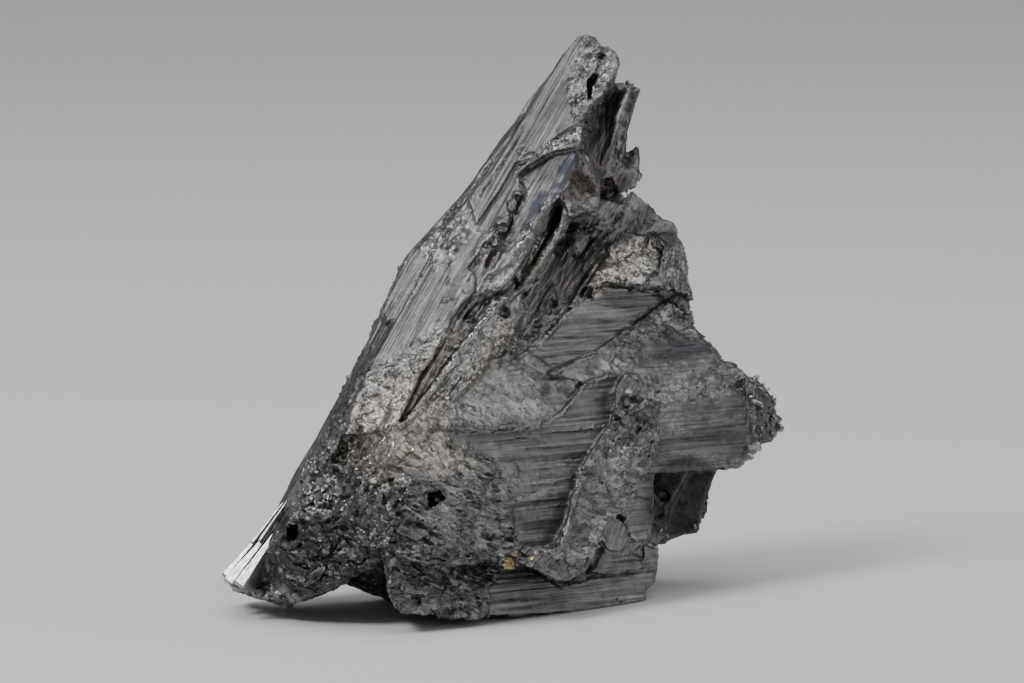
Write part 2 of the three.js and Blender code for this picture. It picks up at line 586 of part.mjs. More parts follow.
// The long left flank, from the tail to the tip: a striated surface that is drawn by the left outline
// and bows away from it towards the viewer and towards the back. It holds everything to its right.
function flank() {
  const outline = [
    [-27, -1], [-24.9, 2.2], [-23.5, 4.2], [-21.5, 6.7], [-19.3, 10.5], [-17, 14.2], [-15.4, 16.7], [-14.4, 19],
    [-13.7, 20.8], [-12.4, 22.8], [-11.4, 25.2], [-10.3, 26.8], [-9.6, 29], [-8.5, 31.4], [-6.6, 33.3],
    [-4.7, 36], [-1.9, 39], [0.1, 42.2], [1.3, 44], [2.6, 46.5], [4, 47.8], [5.7, 50.1], [7, 52],
  ];
  const [alongX, alongZ] = [Math.sin(radians(FLANK_TILT)), Math.cos(radians(FLANK_TILT))];
  const edge = outline.map(([x, z]) => [x * alongX + z * alongZ, z * alongX - x * alongZ]);
  const surface = (toViewer, along) => {
    const k = Math.max(1, edge.findIndex(([at]) => at > along));
    const [[a0, out0], [a1, out1]] = [edge[k - 1], edge[k]];
    const reach = out0 + ((out1 - out0) * (along - a0)) / (a1 - a0);
    const depth = -toViewer - FLANK_DEPTH - FLANK_RISE * Math.max(0, along - 18);
    return -(reach - (depth > 0 ? 0.04 : 0.024) * depth * depth);
  };
  const limits = [[-22, -16], [24, -16], [24, 60], [-22, 60]];
  const sheet = ground(limits, (x, z, lift) => surface(x, z) + lift, () => 60, FLANK_STRIAE);
  return sheet.rotate([0, 0, -90]).rotate([0, FLANK_TILT, 0]);
}

function ribs() {
  return [
    // valley between the blade and the long rib
    plate(
      [[-9.6, 16.4], [-8.2, 18], [-6, 21.5], [-4.5, 24.3], [-2.4, 27.4], [-2, 28.9], [-0.5, 29.1], [0.6, 28.4],
        [-0.5, 26.8], [-2.3, 25], [-3.5, 23.4], [-5, 21.4], [-7, 18.8], [-8.8, 16.2]],
      behind(bladeFace, 2.2), 4, { ...FINE, rough: 0.3 },
    ),
    // the long rib's right flank
    plate(
      [[-9, 16.3], [-6.8, 19.2], [-5, 21.7], [-3.5, 23.7], [-2.3, 25.3], [-0.4, 27.1], [1.1, 28.4], [1.3, 26],
        [-0.4, 23.8], [-1.5, 22.4], [-2.6, 20.9], [-4, 19.4], [-6, 17.6], [-7.4, 16.6]],
      face(-6.8, 19, -10.5, 45.7, -8.3), 3, { ...FINE, rough: 0.3 },
    ),
    // from the lower rib down to the slope
    plate(
      [[-7, 17.4], [-4, 20], [-1.5, 21.4], [1.5, 22.4], [5.6, 26.3], [4, 27.2], [1.2, 25.7], [-0.4, 24.3],
        [-2.6, 21.5], [-4.2, 19.9]],
      behind(slopeFace, 0.1), 5, FINE,
    ),
    // the long curved rib
    rib(
      [[-8.8, 16.6, -13], [-6.8, 19, -11.2], [-5, 21.5, -9.5], [-3.5, 23.5, -8], [-2.3, 25.1, -7],
        [-0.4, 26.9, -6], [1.1, 28.2, -5.4], [2.4, 30, -4.8], [3.6, 32, -4.1], [4.6, 33.8, -3.6],
        [4.85, 35, -3.4], [4.5, 36, -3.4]],
      0.66, 6.5,
    ),
    // lower rib, lumpier
    rib(
      [[-6, 17.8, -10.6], [-4, 19.6, -8.8], [-2.6, 21.1, -7.2], [-1.5, 22.6, -5.8], [-0.4, 24, -4.6],
        [0.7, 25.3, -3.4]],
      0.85, 4.4,
    ),
    rib([[1.2, 26.9, -2.4], [2.2, 28.4, -1.4], [3.2, 29.9, -0.6], [4, 31.2, 0.2]], 0.5, 5),
  ];
}

// The second, hollow blade beside the tip: a dark face, a bright edge and a spike.
function secondBlade() {
  return [
    plate(
      [[6.4, 39.4], [7.3, 42], [8.2, 44.6], [9, 46.1], [10.5, 46.25], [11.65, 45.7], [11, 44.2], [10.4, 42],
        [10.3, 40.2], [9.4, 38], [7.2, 37.6]],
      face(9, 42, 4.6, 12, 6), 8, FINE,
    ),
    rib([[8.1, 39, 3.4], [8.9, 40.8, 3.2], [9.3, 42.4, 3.2], [9.8, 44.2, 3.3], [10.4, 45.7, 3.6]], 0.5, 2.4),
    plate(
      [[8.9, 38], [9.8, 39.7], [10.8, 40.2], [11.35, 40.7], [11.5, 39.4], [11.4, 38.5], [11.7, 38.2],
        [11.2, 37.2], [9.8, 36.6]],
      face(10.5, 38.6, 5.2, 18, 8), 10, FINE,
    ),
  ];
}

// ---- The granular lumps at the lower left -------------------------------------------------------------

function lowerLeft() {
  const leftLump = outward(
    face(-16, 4.5, -10.6, -14, 12),
    face(-16, 3, -10.2, -14, -30),
    face(-21, 4, -6.6, -60, 4),
  );
  const frontLump = outward(
    face(-10, 1.5, -15.3, 41, 4),
    face(-8, 1.2, -13.2, 41, -35),
    face(-10, 3, -14.6, -62, 0),
  );
  return [
    plate(
      [[-22.6, 1.8], [-22.2, 4.4], [-21, 5.6], [-20, 7.4], [-18.6, 9.4], [-17, 9.4], [-14, 8.6], [-12, 6.6],
        [-10.4, 5], [-11.5, 4.1], [-12.8, 3.8], [-13.5, 3.2], [-14.5, 2.7], [-16, 2], [-17.5, 1.4],
        [-19.2, 1.2], [-20.5, 1.6], [-22.2, 1.85]],
      leftLump, 0, COARSE,
    ),
    // front lump: the nearest part of the fragment, hanging just above the ground
    plate(
      [[-10.5, 5], [-10.2, 3], [-10, 1.6], [-9.3, 0.5], [-8, 0.4], [-6.8, 0.3], [-5.5, 0], [-4, -0.15],
        [-2.2, -0.05], [-1.8, 1.9], [-0.8, 3.8], [0.4, 4.3], [-0.2, 6.4], [-3, 7.5], [-6, 8.2], [-9.9, 7.6]],
      frontLump, 2, COARSE,
    ),
  ];
}

// ---- Openings that go into the solid ----------------------------------------------------------------

function slots() {
  return [
    // between the blade and the middle blade
    block(
      [[-2.15, 29.2], [-1.5, 29.5], [-0.9, 30.8], [-0.2, 32.6], [0.5, 34.4], [1.15, 36.2], [0.8, 36], [0.2, 34.9],
        [-0.4, 33.6], [-1.2, 32.1], [-2, 30.4]],
      NEAR, -6, 1.5, 0.8,
    ),
    // in the tip
    block(
      [[6.85, 46.2], [7.3, 46.95], [7.95, 46.8], [7.5, 45.9], [7.25, 44.6], [7, 44.2], [6.85, 45.2]],
      NEAR, -1, 3, 0.7,
    ),
    // notch in the wall's granular part
    block([[-6.9, 10.9], [-5.5, 10.8], [-5.3, 10.3], [-6, 9.7], [-7.5, 8.8], [-6.7, 9.9]], NEAR, -12, -10.9, 0.5),
    // corner between the rim and the left lump
    block([[-18.8, 8], [-18.2, 7.8], [-18, 7], [-18.3, 6.3], [-18.9, 6.6]], NEAR, -7, -5, 0.5),
    // groove between the rim and the blade
    block(
      [[-14.1, 18], [-12.4, 21.2], [-10.2, 24.9], [-8.4, 28.2], [-6.9, 31.6], [-7.2, 31.5], [-8.9, 28.2],
        [-10.7, 25], [-12.9, 21.2]],
      NEAR, bladeFace, behind(bladeFace, 1.2), 0.96,
    ),
  ];
}

// ---- Assembly ------------------------------------------------------------------------------------------

const grown = join([
  ...core(),
  ...backSteps(),
  ...lowestCourses(),
  ...middleWall(),
  ...slopes(),
  ...crust(),
  ...rightBlock(),
  ...rearBlock(),
  ...shoulder(),
  ...hollow(),
  ...blade(),
  ...rim(),
  ...ribs(),
  ...secondBlade(),
  ...lowerLeft(),
]);

// Leans the drawn fragment back and trims it flat where it rests.
function settle(solid) {
  const leaned = solid.rotate([-LEAN, 0, 0]);
  const height = FLOOR_HEIGHT * Math.cos(radians(LEAN));
  const plinth = new THREE.BoxGeometry(PLINTH_SIZE, PLINTH_SIZE, PLINTH_SIZE);
  plinth.translate(0, 0, height - PLINTH_SIZE / 2);
  const trimmed = leaned.subtract(solidOf(plinth));
  return trimmed.decompose().sort((a, b) => b.volume() - a.volume())[0];
}

const whole = grown.intersect(flank()).subtract(join(slots()));
const { vertProperties, triVerts } = settle(whole).getMesh();
const geometry = new THREE.BufferGeometry();
geometry.setAttribute("position", new THREE.BufferAttribute(Float32Array.from(vertProperties), 3));
geometry.setIndex(new THREE.BufferAttribute(Uint32Array.from(triVerts), 1));
geometry.computeBoundingBox();

// The origin is the middle of the base: half way across, half way deep, on the ground.
const { min, max } = geometry.boundingBox;
geometry.translate(-(min.x + max.x) / 2, -(min.y + max.y) / 2, -min.z);

const crystal = new THREE.Mesh(
  geometry,
  new THREE.MeshStandardMaterial({ color: 0x57585b, roughness: 0.42, metalness: 0.85 }),
);
crystal.name = "andorite_crystal";

const specimen = new THREE.Group();
specimen.add(crystal);
export default specimen;
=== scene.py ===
"""Dressed model of an andorite specimen: a dark metallic fragment with striated and granular faces.

The fragment is described on an upright sheet, in millimetres: u runs to the right, v runs up and
depth runs away from the viewer. Sheet turns that into the row frame, in metres, where the fragment
leans back on its base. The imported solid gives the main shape. It is copied, crusted with needles,
splinters and crumbs, closed into one skin and given the fine relief of each of its faces.
"""

import itertools
import logging
import math
from collections.abc import Callable, Iterator
from contextlib import contextmanager
from dataclasses import dataclass, field
from enum import Enum

import bpy
import numpy as np
from mathutils import Matrix, Vector


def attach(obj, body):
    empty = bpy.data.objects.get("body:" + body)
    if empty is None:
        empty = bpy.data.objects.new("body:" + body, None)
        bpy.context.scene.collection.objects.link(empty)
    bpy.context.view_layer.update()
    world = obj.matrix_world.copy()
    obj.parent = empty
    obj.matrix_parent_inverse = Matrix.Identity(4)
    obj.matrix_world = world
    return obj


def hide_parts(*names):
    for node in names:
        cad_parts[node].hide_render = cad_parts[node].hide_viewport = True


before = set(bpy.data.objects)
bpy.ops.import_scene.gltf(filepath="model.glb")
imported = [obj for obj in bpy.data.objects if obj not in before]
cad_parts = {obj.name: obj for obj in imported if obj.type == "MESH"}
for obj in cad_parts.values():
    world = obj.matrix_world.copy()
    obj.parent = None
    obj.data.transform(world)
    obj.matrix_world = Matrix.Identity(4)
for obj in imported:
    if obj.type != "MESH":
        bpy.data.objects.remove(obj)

LOG = logging.getLogger("andorite")
Line = tuple[tuple[float, float], ...]
RGB = tuple[float, float, float]

MM = 0.001  # one millimetre, in metres
FRONT = -80.0  # depth from which the fragment is looked at, in mm
FAR = 60.0  # distance well outside the fragment, in mm


# ---- Frames and tools ------------------------------------------------------------------------------


@dataclass(frozen=True)
class Sheet:
    """The upright sheet on which the fragment is described.

    Attributes:
        lean: How far the sheet leans back in the row frame, in degrees.
        across: Sheet u of the row's origin, in mm.
        deep: Leaned depth of the row's origin, in mm.
        low: Leaned height of the row's origin, in mm.
    """

    lean: float = 8.0
    across: float = -0.05
    deep: float = 2.5295
    low: float = 0.4258

    def turn(self) -> Matrix:
        """Return the turn that leans the sheet back."""
        return Matrix.Rotation(-math.radians(self.lean), 4, "X")

    def to_row(self) -> Matrix:
        """Return the matrix from sheet millimetres to row metres."""
        shift = Matrix.Translation((-self.across, -self.deep, -self.low))
        return Matrix.Scale(MM, 4) @ shift @ self.turn()

    def row_basis(self, face: tuple[float, float, float]) -> np.ndarray:
        """Return the axes of a face, given as heading, turn and lean, in the row frame."""
        return np.array([self.turn().to_3x3() @ Vector(axis) for axis in basis(*face)])


SHEET = Sheet()


def basis(heading: float, turn: float, lean: float) -> np.ndarray:
    """Build the axes of a face: along its heading, across it, and out of the face's back.

    Args:
        heading: Direction on the sheet, in degrees up from level.
        turn: How far the face turns away to the right, in degrees.
        lean: How far the face leans back, in degrees.

    Returns:
        Three rows of unit vectors.
    """
    across, upwards = math.tan(math.radians(turn)), math.tan(math.radians(lean))
    cos, sin = math.cos(math.radians(heading)), math.sin(math.radians(heading))
    along = np.array([cos, cos * across + sin * upwards, sin])
    inwards = np.array([-across, 1.0, -upwards])
    along /= np.linalg.norm(along)
    inwards /= np.linalg.norm(inwards)
    return np.array([along, np.cross(inwards, along), inwards])


def select_only(piece: bpy.types.Object) -> None:
    """Deselect everything, then select and activate one piece.

    Args:
        piece: The piece to work on.
    """
    bpy.ops.object.select_all(action="DESELECT")
    piece.select_set(True)
    bpy.context.view_layer.objects.active = piece


@contextmanager
def editing(piece: bpy.types.Object, parts: str = "",
            chosen: Callable[[bpy.types.bpy_struct], bool] | None = None) -> Iterator[None]:
    """Open a piece's mesh for editing, and close it again afterwards.

    Args:
        piece: The piece to change.
        parts: "vertices" or "polygons" where only some of these are selected, and "" for the whole mesh.
        chosen: Which of these parts are selected.

    Yields:
        Control while the mesh is open.
    """
    select_only(piece)
    bpy.ops.object.mode_set(mode="EDIT")
    bpy.ops.mesh.select_all(action="DESELECT" if parts else "SELECT")
    if parts:
        bpy.ops.object.mode_set(mode="OBJECT")
        for part in getattr(piece.data, parts):
            part.select = chosen(part)
        bpy.ops.object.mode_set(mode="EDIT")
    yield
    bpy.ops.object.mode_set(mode="OBJECT")


def apply_modifier(piece: bpy.types.Object, kind: str, **settings: object) -> None:
    """Add a modifier to a piece and apply it.

    Args:
        piece: The piece to change.
        kind: The modifier's type.
        **settings: The modifier's own settings.
    """
    select_only(piece)
    modifier = piece.modifiers.new(kind.lower(), kind)
    for name, value in settings.items():
        setattr(modifier, name, value)
    bpy.ops.object.modifier_apply(modifier=modifier.name)


def join_pieces(pieces: list[bpy.types.Object], name: str) -> bpy.types.Object:
    """Join pieces into one object.

    Args:
        pieces: At least two mesh objects.
        name: Name of the joined object and its mesh.

    Returns:
        The joined object.
    """
    select_only(pieces[0])
    for piece in pieces[1:]:
        piece.select_set(True)
    bpy.ops.object.join()
    pieces[0].name = pieces[0].data.name = name
    return pieces[0]


def copy_of(pattern: bpy.types.Object, place: Matrix) -> bpy.types.Object:
    """Copy a pattern, with a mesh of its own.

    Args:
        pattern: The object to copy.
        place: Where the copy's mesh is moved.

    Returns:
        The copy, whose object stays where the pattern's is.
    """
    piece = pattern.copy()
    piece.data = pattern.data.copy()
    piece.data.transform(place)
    bpy.context.scene.collection.objects.link(piece)
    return piece


def aim(direction: Vector, spin: float) -> Matrix:
    """Return the turn that stands a pattern's Z axis along a direction, spun about it."""
    return direction.to_track_quat("Z", "Y").to_matrix().to_4x4() @ Matrix.Rotation(spin, 4, "Z")


def depth_at(piece: bpy.types.Object, u: float, v: float) -> float | None:
    """Return the depth at which a viewer meets a piece in the sheet frame, or None."""
    hit, place, _, _ = piece.ray_cast(Vector((u, FRONT, v)), Vector((0, 1, 0)))
    return place.y if hit else None


def read_rows(values: bpy.types.bpy_prop_collection, name: str) -> np.ndarray:
    """Read a vector that each of a mesh's points has.

    Args:
        values: The mesh's points or their normals.
        name: The vector's name.

    Returns:
        The vectors, one row each.
    """
    flat = np.zeros(len(values) * 3, np.float32)
    values.foreach_get(name, flat)
    return flat.reshape(-1, 3).astype(float)


def mesh_points(mesh: bpy.types.Mesh) -> np.ndarray:
    """Return a mesh's points, one row each."""
    return read_rows(mesh.vertices, "co")


def mesh_normals(mesh: bpy.types.Mesh) -> np.ndarray:
    """Return a mesh's point normals, one row each."""
    return read_rows(mesh.vertex_normals, "vector")


def move_points(mesh: bpy.types.Mesh, points: np.ndarray) -> None:
    """Put a mesh's points in new places."""
    mesh.vertices.foreach_set("co", points.astype(np.float32).ravel())
    mesh.update()


def smooth_step(values: np.ndarray) -> np.ndarray:
    """Ease values from 0 to 1 between 0 and 1."""
    t = np.clip(values, 0, 1)
    return t * t * (3 - 2 * t)


@dataclass(frozen=True)
class Noise:
    """Repeatable noise on points whose cells are one unit wide.

    Attributes:
        seed: Chooses the pattern.
        primes: What the three counts of a cell and the seed are multiplied by.
        stirs: Shifts and factors that mix the bits of a cell's number.
    """

    seed: int = 1
    primes: tuple[int, int, int, int] = (374761393, 668265263, 2147483629, 974711)
    stirs: tuple[tuple[int, int], ...] = ((13, 1274126177), (15, 668265263))

    def _mark(self, cells: np.ndarray, salt: int = 0) -> np.ndarray:
        """Give each cell a number of its own.

        Args:
            cells: Whole numbers, one row for each cell.
            salt: Chooses another set of numbers.

        Returns:
            A number from 0 to 1 for each cell.
        """
        mask = 0xFFFFFFFF
        i, j, k = cells.T
        a, b, c, d = self.primes
        h = (i * a + j * b + k * c + (self.seed + salt) * d) & mask
        for shift, factor in self.stirs:
            h = ((h ^ (h >> shift)) * factor) & mask
        return ((h ^ (h >> 16)) & 0xFFFF) / 0xFFFF

    def value(self, points: np.ndarray, crisp: float = 1.0) -> np.ndarray:
        """Return noise from -1 to 1.

        Args:
            points: Points, one row each.
            crisp: Above 1, the noise steps instead of rolling along the second axis.

        Returns:
            One number for each point.
        """
        cells = np.floor(points).astype(np.int64)
        part = points - cells
        part[:, 1] = np.clip((part[:, 1] - 0.5) * crisp + 0.5, 0, 1)
        part = part * part * (3 - 2 * part)
        total = np.zeros(len(points))
        for corner in itertools.product((0, 1), repeat=3):
            chosen = np.array(corner)
            weight = np.prod(np.where(chosen, part, 1 - part), axis=1)
            total += weight * self._mark(cells + chosen)
        return 2 * total - 1

    def facets(self, points: np.ndarray, lean: float, tilt: tuple[float, float], rise: float) -> np.ndarray:
        """Break the ground into uneven flat facets.

        Args:
            points: Points, one row each.
            lean: Slope that all facets share along the second axis, so that they overlap like shingles.
            tilt: How much the slopes of single facets differ along the first and the second axis.
            rise: How much the middles of single facets differ in height.

        Returns:
            The height at each point.
        """
        home = np.floor(points).astype(np.int64)
        near = np.full(len(points), 9.0)
        height = np.zeros(len(points))
        for offset in itertools.product((-1, 0, 1), repeat=3):
            if sum(map(abs, offset)) == 3:
                continue
            cell = home + np.array(offset)
            away = points - cell - np.stack([self._mark(cell, salt) for salt in (11, 23, 37)], axis=1)
            distance = np.einsum("ij,ij->i", away, away)
            closer = distance < near
            near = np.minimum(near, distance)
            up, along, across = (self._mark(cell[closer], salt) - 0.5 for salt in (51, 61, 71))
            height[closer] = rise * up + 2 * along * tilt[0] * away[closer, 0] \
                + (lean + 2 * across * tilt[1]) * away[closer, 1]
        return height


# ---- Relief ----------------------------------------------------------------------------------------


class Texture(Enum):
    """The kinds of fine relief that the faces have."""

    LEDGES = "straight stepped striations"
    SCALES = "overlapping flat scales that run one way"
    GRAINS = "rough broken grains"
    FOLDS = "crumpled folds"
    SMOOTH = "almost even"

    def height(self, at: np.ndarray, noise: Noise) -> np.ndarray:
        """Return the relief, about -1 to 1.

        Args:
            at: Points in grain lengths: along the grain, across it and into the face.
            noise: Where the relief gets its variety.

        Returns:
            One height for each point.
        """
        return getattr(self, f"_{self.name.lower()}")(at, noise)

    def _ledges(self, at: np.ndarray, noise: Noise) -> np.ndarray:
        """Stack long flat ledges, with finer ones on them.

        Args:
            at: Points in grain lengths.
            noise: Where the ledges get their variety.

        Returns:
            One height for each point.
        """
        bent = at.copy()
        bent[:, 1] += 0.3 * noise.value(at * (0.7, 0.3, 0.3))
        wide = noise.value(bent * (0.55, 0.5, 0.5), 3.0)
        middle = noise.value(bent * (0.8, 1.1, 1.1) + 9, 2.4)
        narrow = noise.value(bent * (1.2, 2.3, 2.3) + 3, 1.6)
        plates = noise.facets(bent * (0.9, 0.5, 0.5) + 5, 0.1, (0.1, 0.7), 0.8)
        return 0.5 * wide + 0.4 * middle + 0.22 * narrow + 0.5 * plates

    def _scales(self, at: np.ndarray, noise: Noise) -> np.ndarray:
        """Overlap flat scales of two sizes.

        Args:
            at: Points in grain lengths.
            noise: Where the scales get their variety.

        Returns:
            One height for each point.
        """
        bent = at + 0.5 * noise.value(at * 0.55 + 4)[:, None] * (0.4, 1, 1)
        wide = noise.facets(bent * 0.6, 0.5, (1.0, 1.1), 0.5)
        small = noise.facets(bent * 1.5 + 9, 0.4, (0.9, 1.1), 0.4)
        slow = noise.value(at * (0.3, 0.2, 0.2) + 6)
        fine = noise.value(at * (2.2, 3.1, 3.1) + 2)
        return 1.3 * slow + 1.1 * wide + 0.6 * small + 0.2 * fine

    def _grains(self, at: np.ndarray, noise: Noise) -> np.ndarray:
        """Break the ground into grains of two sizes.

        Args:
            at: Points in grain lengths.
            noise: Where the grains get their variety.

        Returns:
            One height for each point.
        """
        bent = at + 0.35 * noise.value(at * 0.8 + 2)[:, None]
        wide = noise.facets(bent * 0.7, 0.2, (1.1, 1.1), 0.5)
        small = noise.facets(bent * 1.7 + 5, 0.1, (1.1, 1.1), 0.5)
        slow = noise.value(at * 0.3 + 6)
        return 0.8 * slow + 0.8 * wide + 0.45 * small + 0.25 * noise.value(at * 2.6 + 3)

    def _folds(self, at: np.ndarray, noise: Noise) -> np.ndarray:
        """Crumple the ground into folds of three sizes.

        Args:
            at: Points in grain lengths.
            noise: Where the folds get their variety.

        Returns:
            One height for each point.
        """
        bend = np.stack([noise.value(at * 0.6 + k) for k in (1, 12, 23)], axis=1)
        bent = at + 0.7 * bend
        wide = noise.facets(bent * 0.7, 0.3, (1.3, 1.3), 0.5)
        middle = noise.facets(bent * (1.4, 1.8, 1.8) + 4, 0.2, (1.2, 1.2), 0.5)
        small = noise.facets(bent * (2.8, 4, 4) + 9, 0.1, (1.2, 1.2), 0.5)
        return 1.0 * noise.value(at * 0.45 + 5) + 0.8 * wide + 0.45 * middle + 0.22 * small

    def _smooth(self, at: np.ndarray, noise: Noise) -> np.ndarray:
        """Leave the ground almost even, with a few flat grains.

        Args:
            at: Points in grain lengths.
            noise: Where the ground gets its variety.

        Returns:
            One height for each point.
        """
        small = noise.facets(at * (0.8, 1.6, 1.6) + 9, 0.1, (0.6, 0.6), 0.5)
        few = smooth_step(2.2 * noise.value(at * 0.3 + 3) - 0.4)
        lines = noise.value(at * (0.3, 1.2, 1.2))
        return 0.5 * noise.value(at * 0.3) + 0.4 * lines + (0.12 + 1.2 * few) * small


LEDGES, SCALES, GRAINS, FOLDS, SMOOTH = Texture


def distance_to(u: np.ndarray, v: np.ndarray, a: np.ndarray, b: np.ndarray) -> np.ndarray:
    """Measure how far points of the sheet are from a segment.

    Args:
        u: The points' u, in mm.
        v: The points' v, in mm.
        a: Start of the segment.
        b: End of the segment.

    Returns:
        One distance for each point, in mm.
    """
    du, dv = b - a
    t = np.clip(((u - a[0]) * du + (v - a[1]) * dv) / max(du * du + dv * dv, 1e-9), 0, 1)
    return np.hypot(u - a[0] - t * du, v - a[1] - t * dv)


def inside_by(u: np.ndarray, v: np.ndarray, corners: np.ndarray) -> np.ndarray:
    """Measure how far points of the sheet are inside a closed outline.

    Args:
        u: The points' u, in mm.
        v: The points' v, in mm.
        corners: The outline's corners, one row each.

    Returns:
        One distance for each point, in mm, negative where the point is outside.
    """
    nearest = np.full(len(u), 1e9)
    inside = np.zeros(len(u), bool)
    for a, b in zip(corners, np.roll(corners, -1, axis=0)):
        nearest = np.minimum(nearest, distance_to(u, v, a, b))
        crosses = (a[1] > v) != (b[1] > v)
        inside ^= crosses & (u < a[0] + (v - a[1]) * (b[0] - a[0]) / (b[1] - a[1] + 1e-12))
    return np.where(inside, nearest, -nearest)


def near_line(u: np.ndarray, v: np.ndarray, line: np.ndarray, margin: float) -> np.ndarray:
    """Find the points of the sheet in the box around a line.

    Args:
        u: The points' u, in mm.
        v: The points' v, in mm.
        line: The line's points, one row each.
        margin: How much wider the box is on each side, in mm.

    Returns:
        For each point, whether it is in the box.
    """
    low, high = line.min(0) - margin, line.max(0) + margin
    return (u > low[0]) & (u < high[0]) & (v > low[1]) & (v < high[1])


@dataclass(frozen=True)
class Patch:
    """Part of the front that has a relief of its own.

    Attributes:
        outline: Its outline on the sheet, in mm.
        texture: The kind of relief.
        heading: Which way the grain runs, in degrees up from level.
        turn: How far the face turns away to the right, in degrees.
        lean: How far the face leans back, in degrees.
        along: Length of one grain, in mm.
        across: Width of one grain, in mm.
        height: How far the relief stands out, in mm.
        soft: Width of the patch's soft edge, in mm.
        lined: How strongly the colour of striations follows the grain.
    """

    outline: Line
    texture: Texture
    heading: float
    turn: float
    lean: float
    along: float
    across: float
    height: float
    soft: float = 0.5
    lined: float = 1.0

    def weight(self, u: np.ndarray, v: np.ndarray) -> np.ndarray:
        """Find how much of the patch is at each point of the sheet.

        Args:
            u: The points' u, in mm.
            v: The points' v, in mm.

        Returns:
            A share from 0 to 1 for each point.
        """
        weight = np.zeros(len(u))
        corners = np.array(self.outline)
        near = near_line(u, v, corners, self.soft)
        weight[near] = smooth_step(0.5 + inside_by(u[near], v[near], corners) / self.soft)
        return weight

    def relief(self, points: np.ndarray, seed: int) -> np.ndarray:
        """Raise the patch's relief.

        Args:
            points: Points of the sheet frame, in mm.
            seed: Chooses the pattern.

        Returns:
            One height for each point, in mm.
        """
        grain = (self.along, self.across, self.across)
        at = points @ basis(self.heading, self.turn, self.lean).T / grain
        return self.height * self.texture.height(at, Noise(seed))


@dataclass(frozen=True)
class Stroke:
    """A drawn ridge, or a groove where its height is negative.

    Attributes:
        line: Its path on the sheet, in mm.
        width: Half its width, in mm.
        height: How far it stands out, in mm.
    """

    line: Line
    width: float
    height: float

    def relief(self, u: np.ndarray, v: np.ndarray) -> np.ndarray:
        """Raise the stroke.

        Args:
            u: The points' u, in mm.
            v: The points' v, in mm.

        Returns:
            One height for each point, in mm.
        """
        path = np.array(self.line)
        near = near_line(u, v, path, self.width)
        away = np.full(near.sum(), 1e9)
        for a, b in zip(path[:-1], path[1:]):
            away = np.minimum(away, distance_to(u[near], v[near], a, b))
        relief = np.zeros(len(u))
        relief[near] = self.height * smooth_step(1 - away / self.width)
        return relief


@dataclass(frozen=True)
class Fill:
    """Rock that levels a gap between two faces.

    Attributes:
        outline: Its outline on the sheet, in mm.
        level: Its depth at the first corner, and how the depth grows with u and with v.
        reach: Ground deeper than this behind it stays, in mm.
        soft: Width of its soft edge, in mm.
    """

    outline: Line
    level: tuple[float, float, float]
    reach: float = 3.0
    soft: float = 0.3

    def raised(self, points: np.ndarray) -> np.ndarray:
        """Find how far the ground is brought towards the viewer.

        Args:
            points: Points of the sheet frame, in mm.

        Returns:
            One distance for each point, in mm.
        """
        corners, place = np.array(self.outline), points[:, (0, 2)]
        over = points[:, 1] - self.level[0] - (place - corners[0]) @ np.array(self.level[1:])
        near = near_line(*place.T, corners, 0) & (over > 0) & (over < self.reach)
        raised = np.zeros(len(points))
        raised[near] = over[near] * smooth_step(inside_by(*place[near].T, corners) / self.soft)
        return raised


# Heading, turn and lean of the level striations and of the steep ones.
LEVEL = (4.0, 39.0, 6.5)
STEEP = (60.5, -16.7, 32.0)

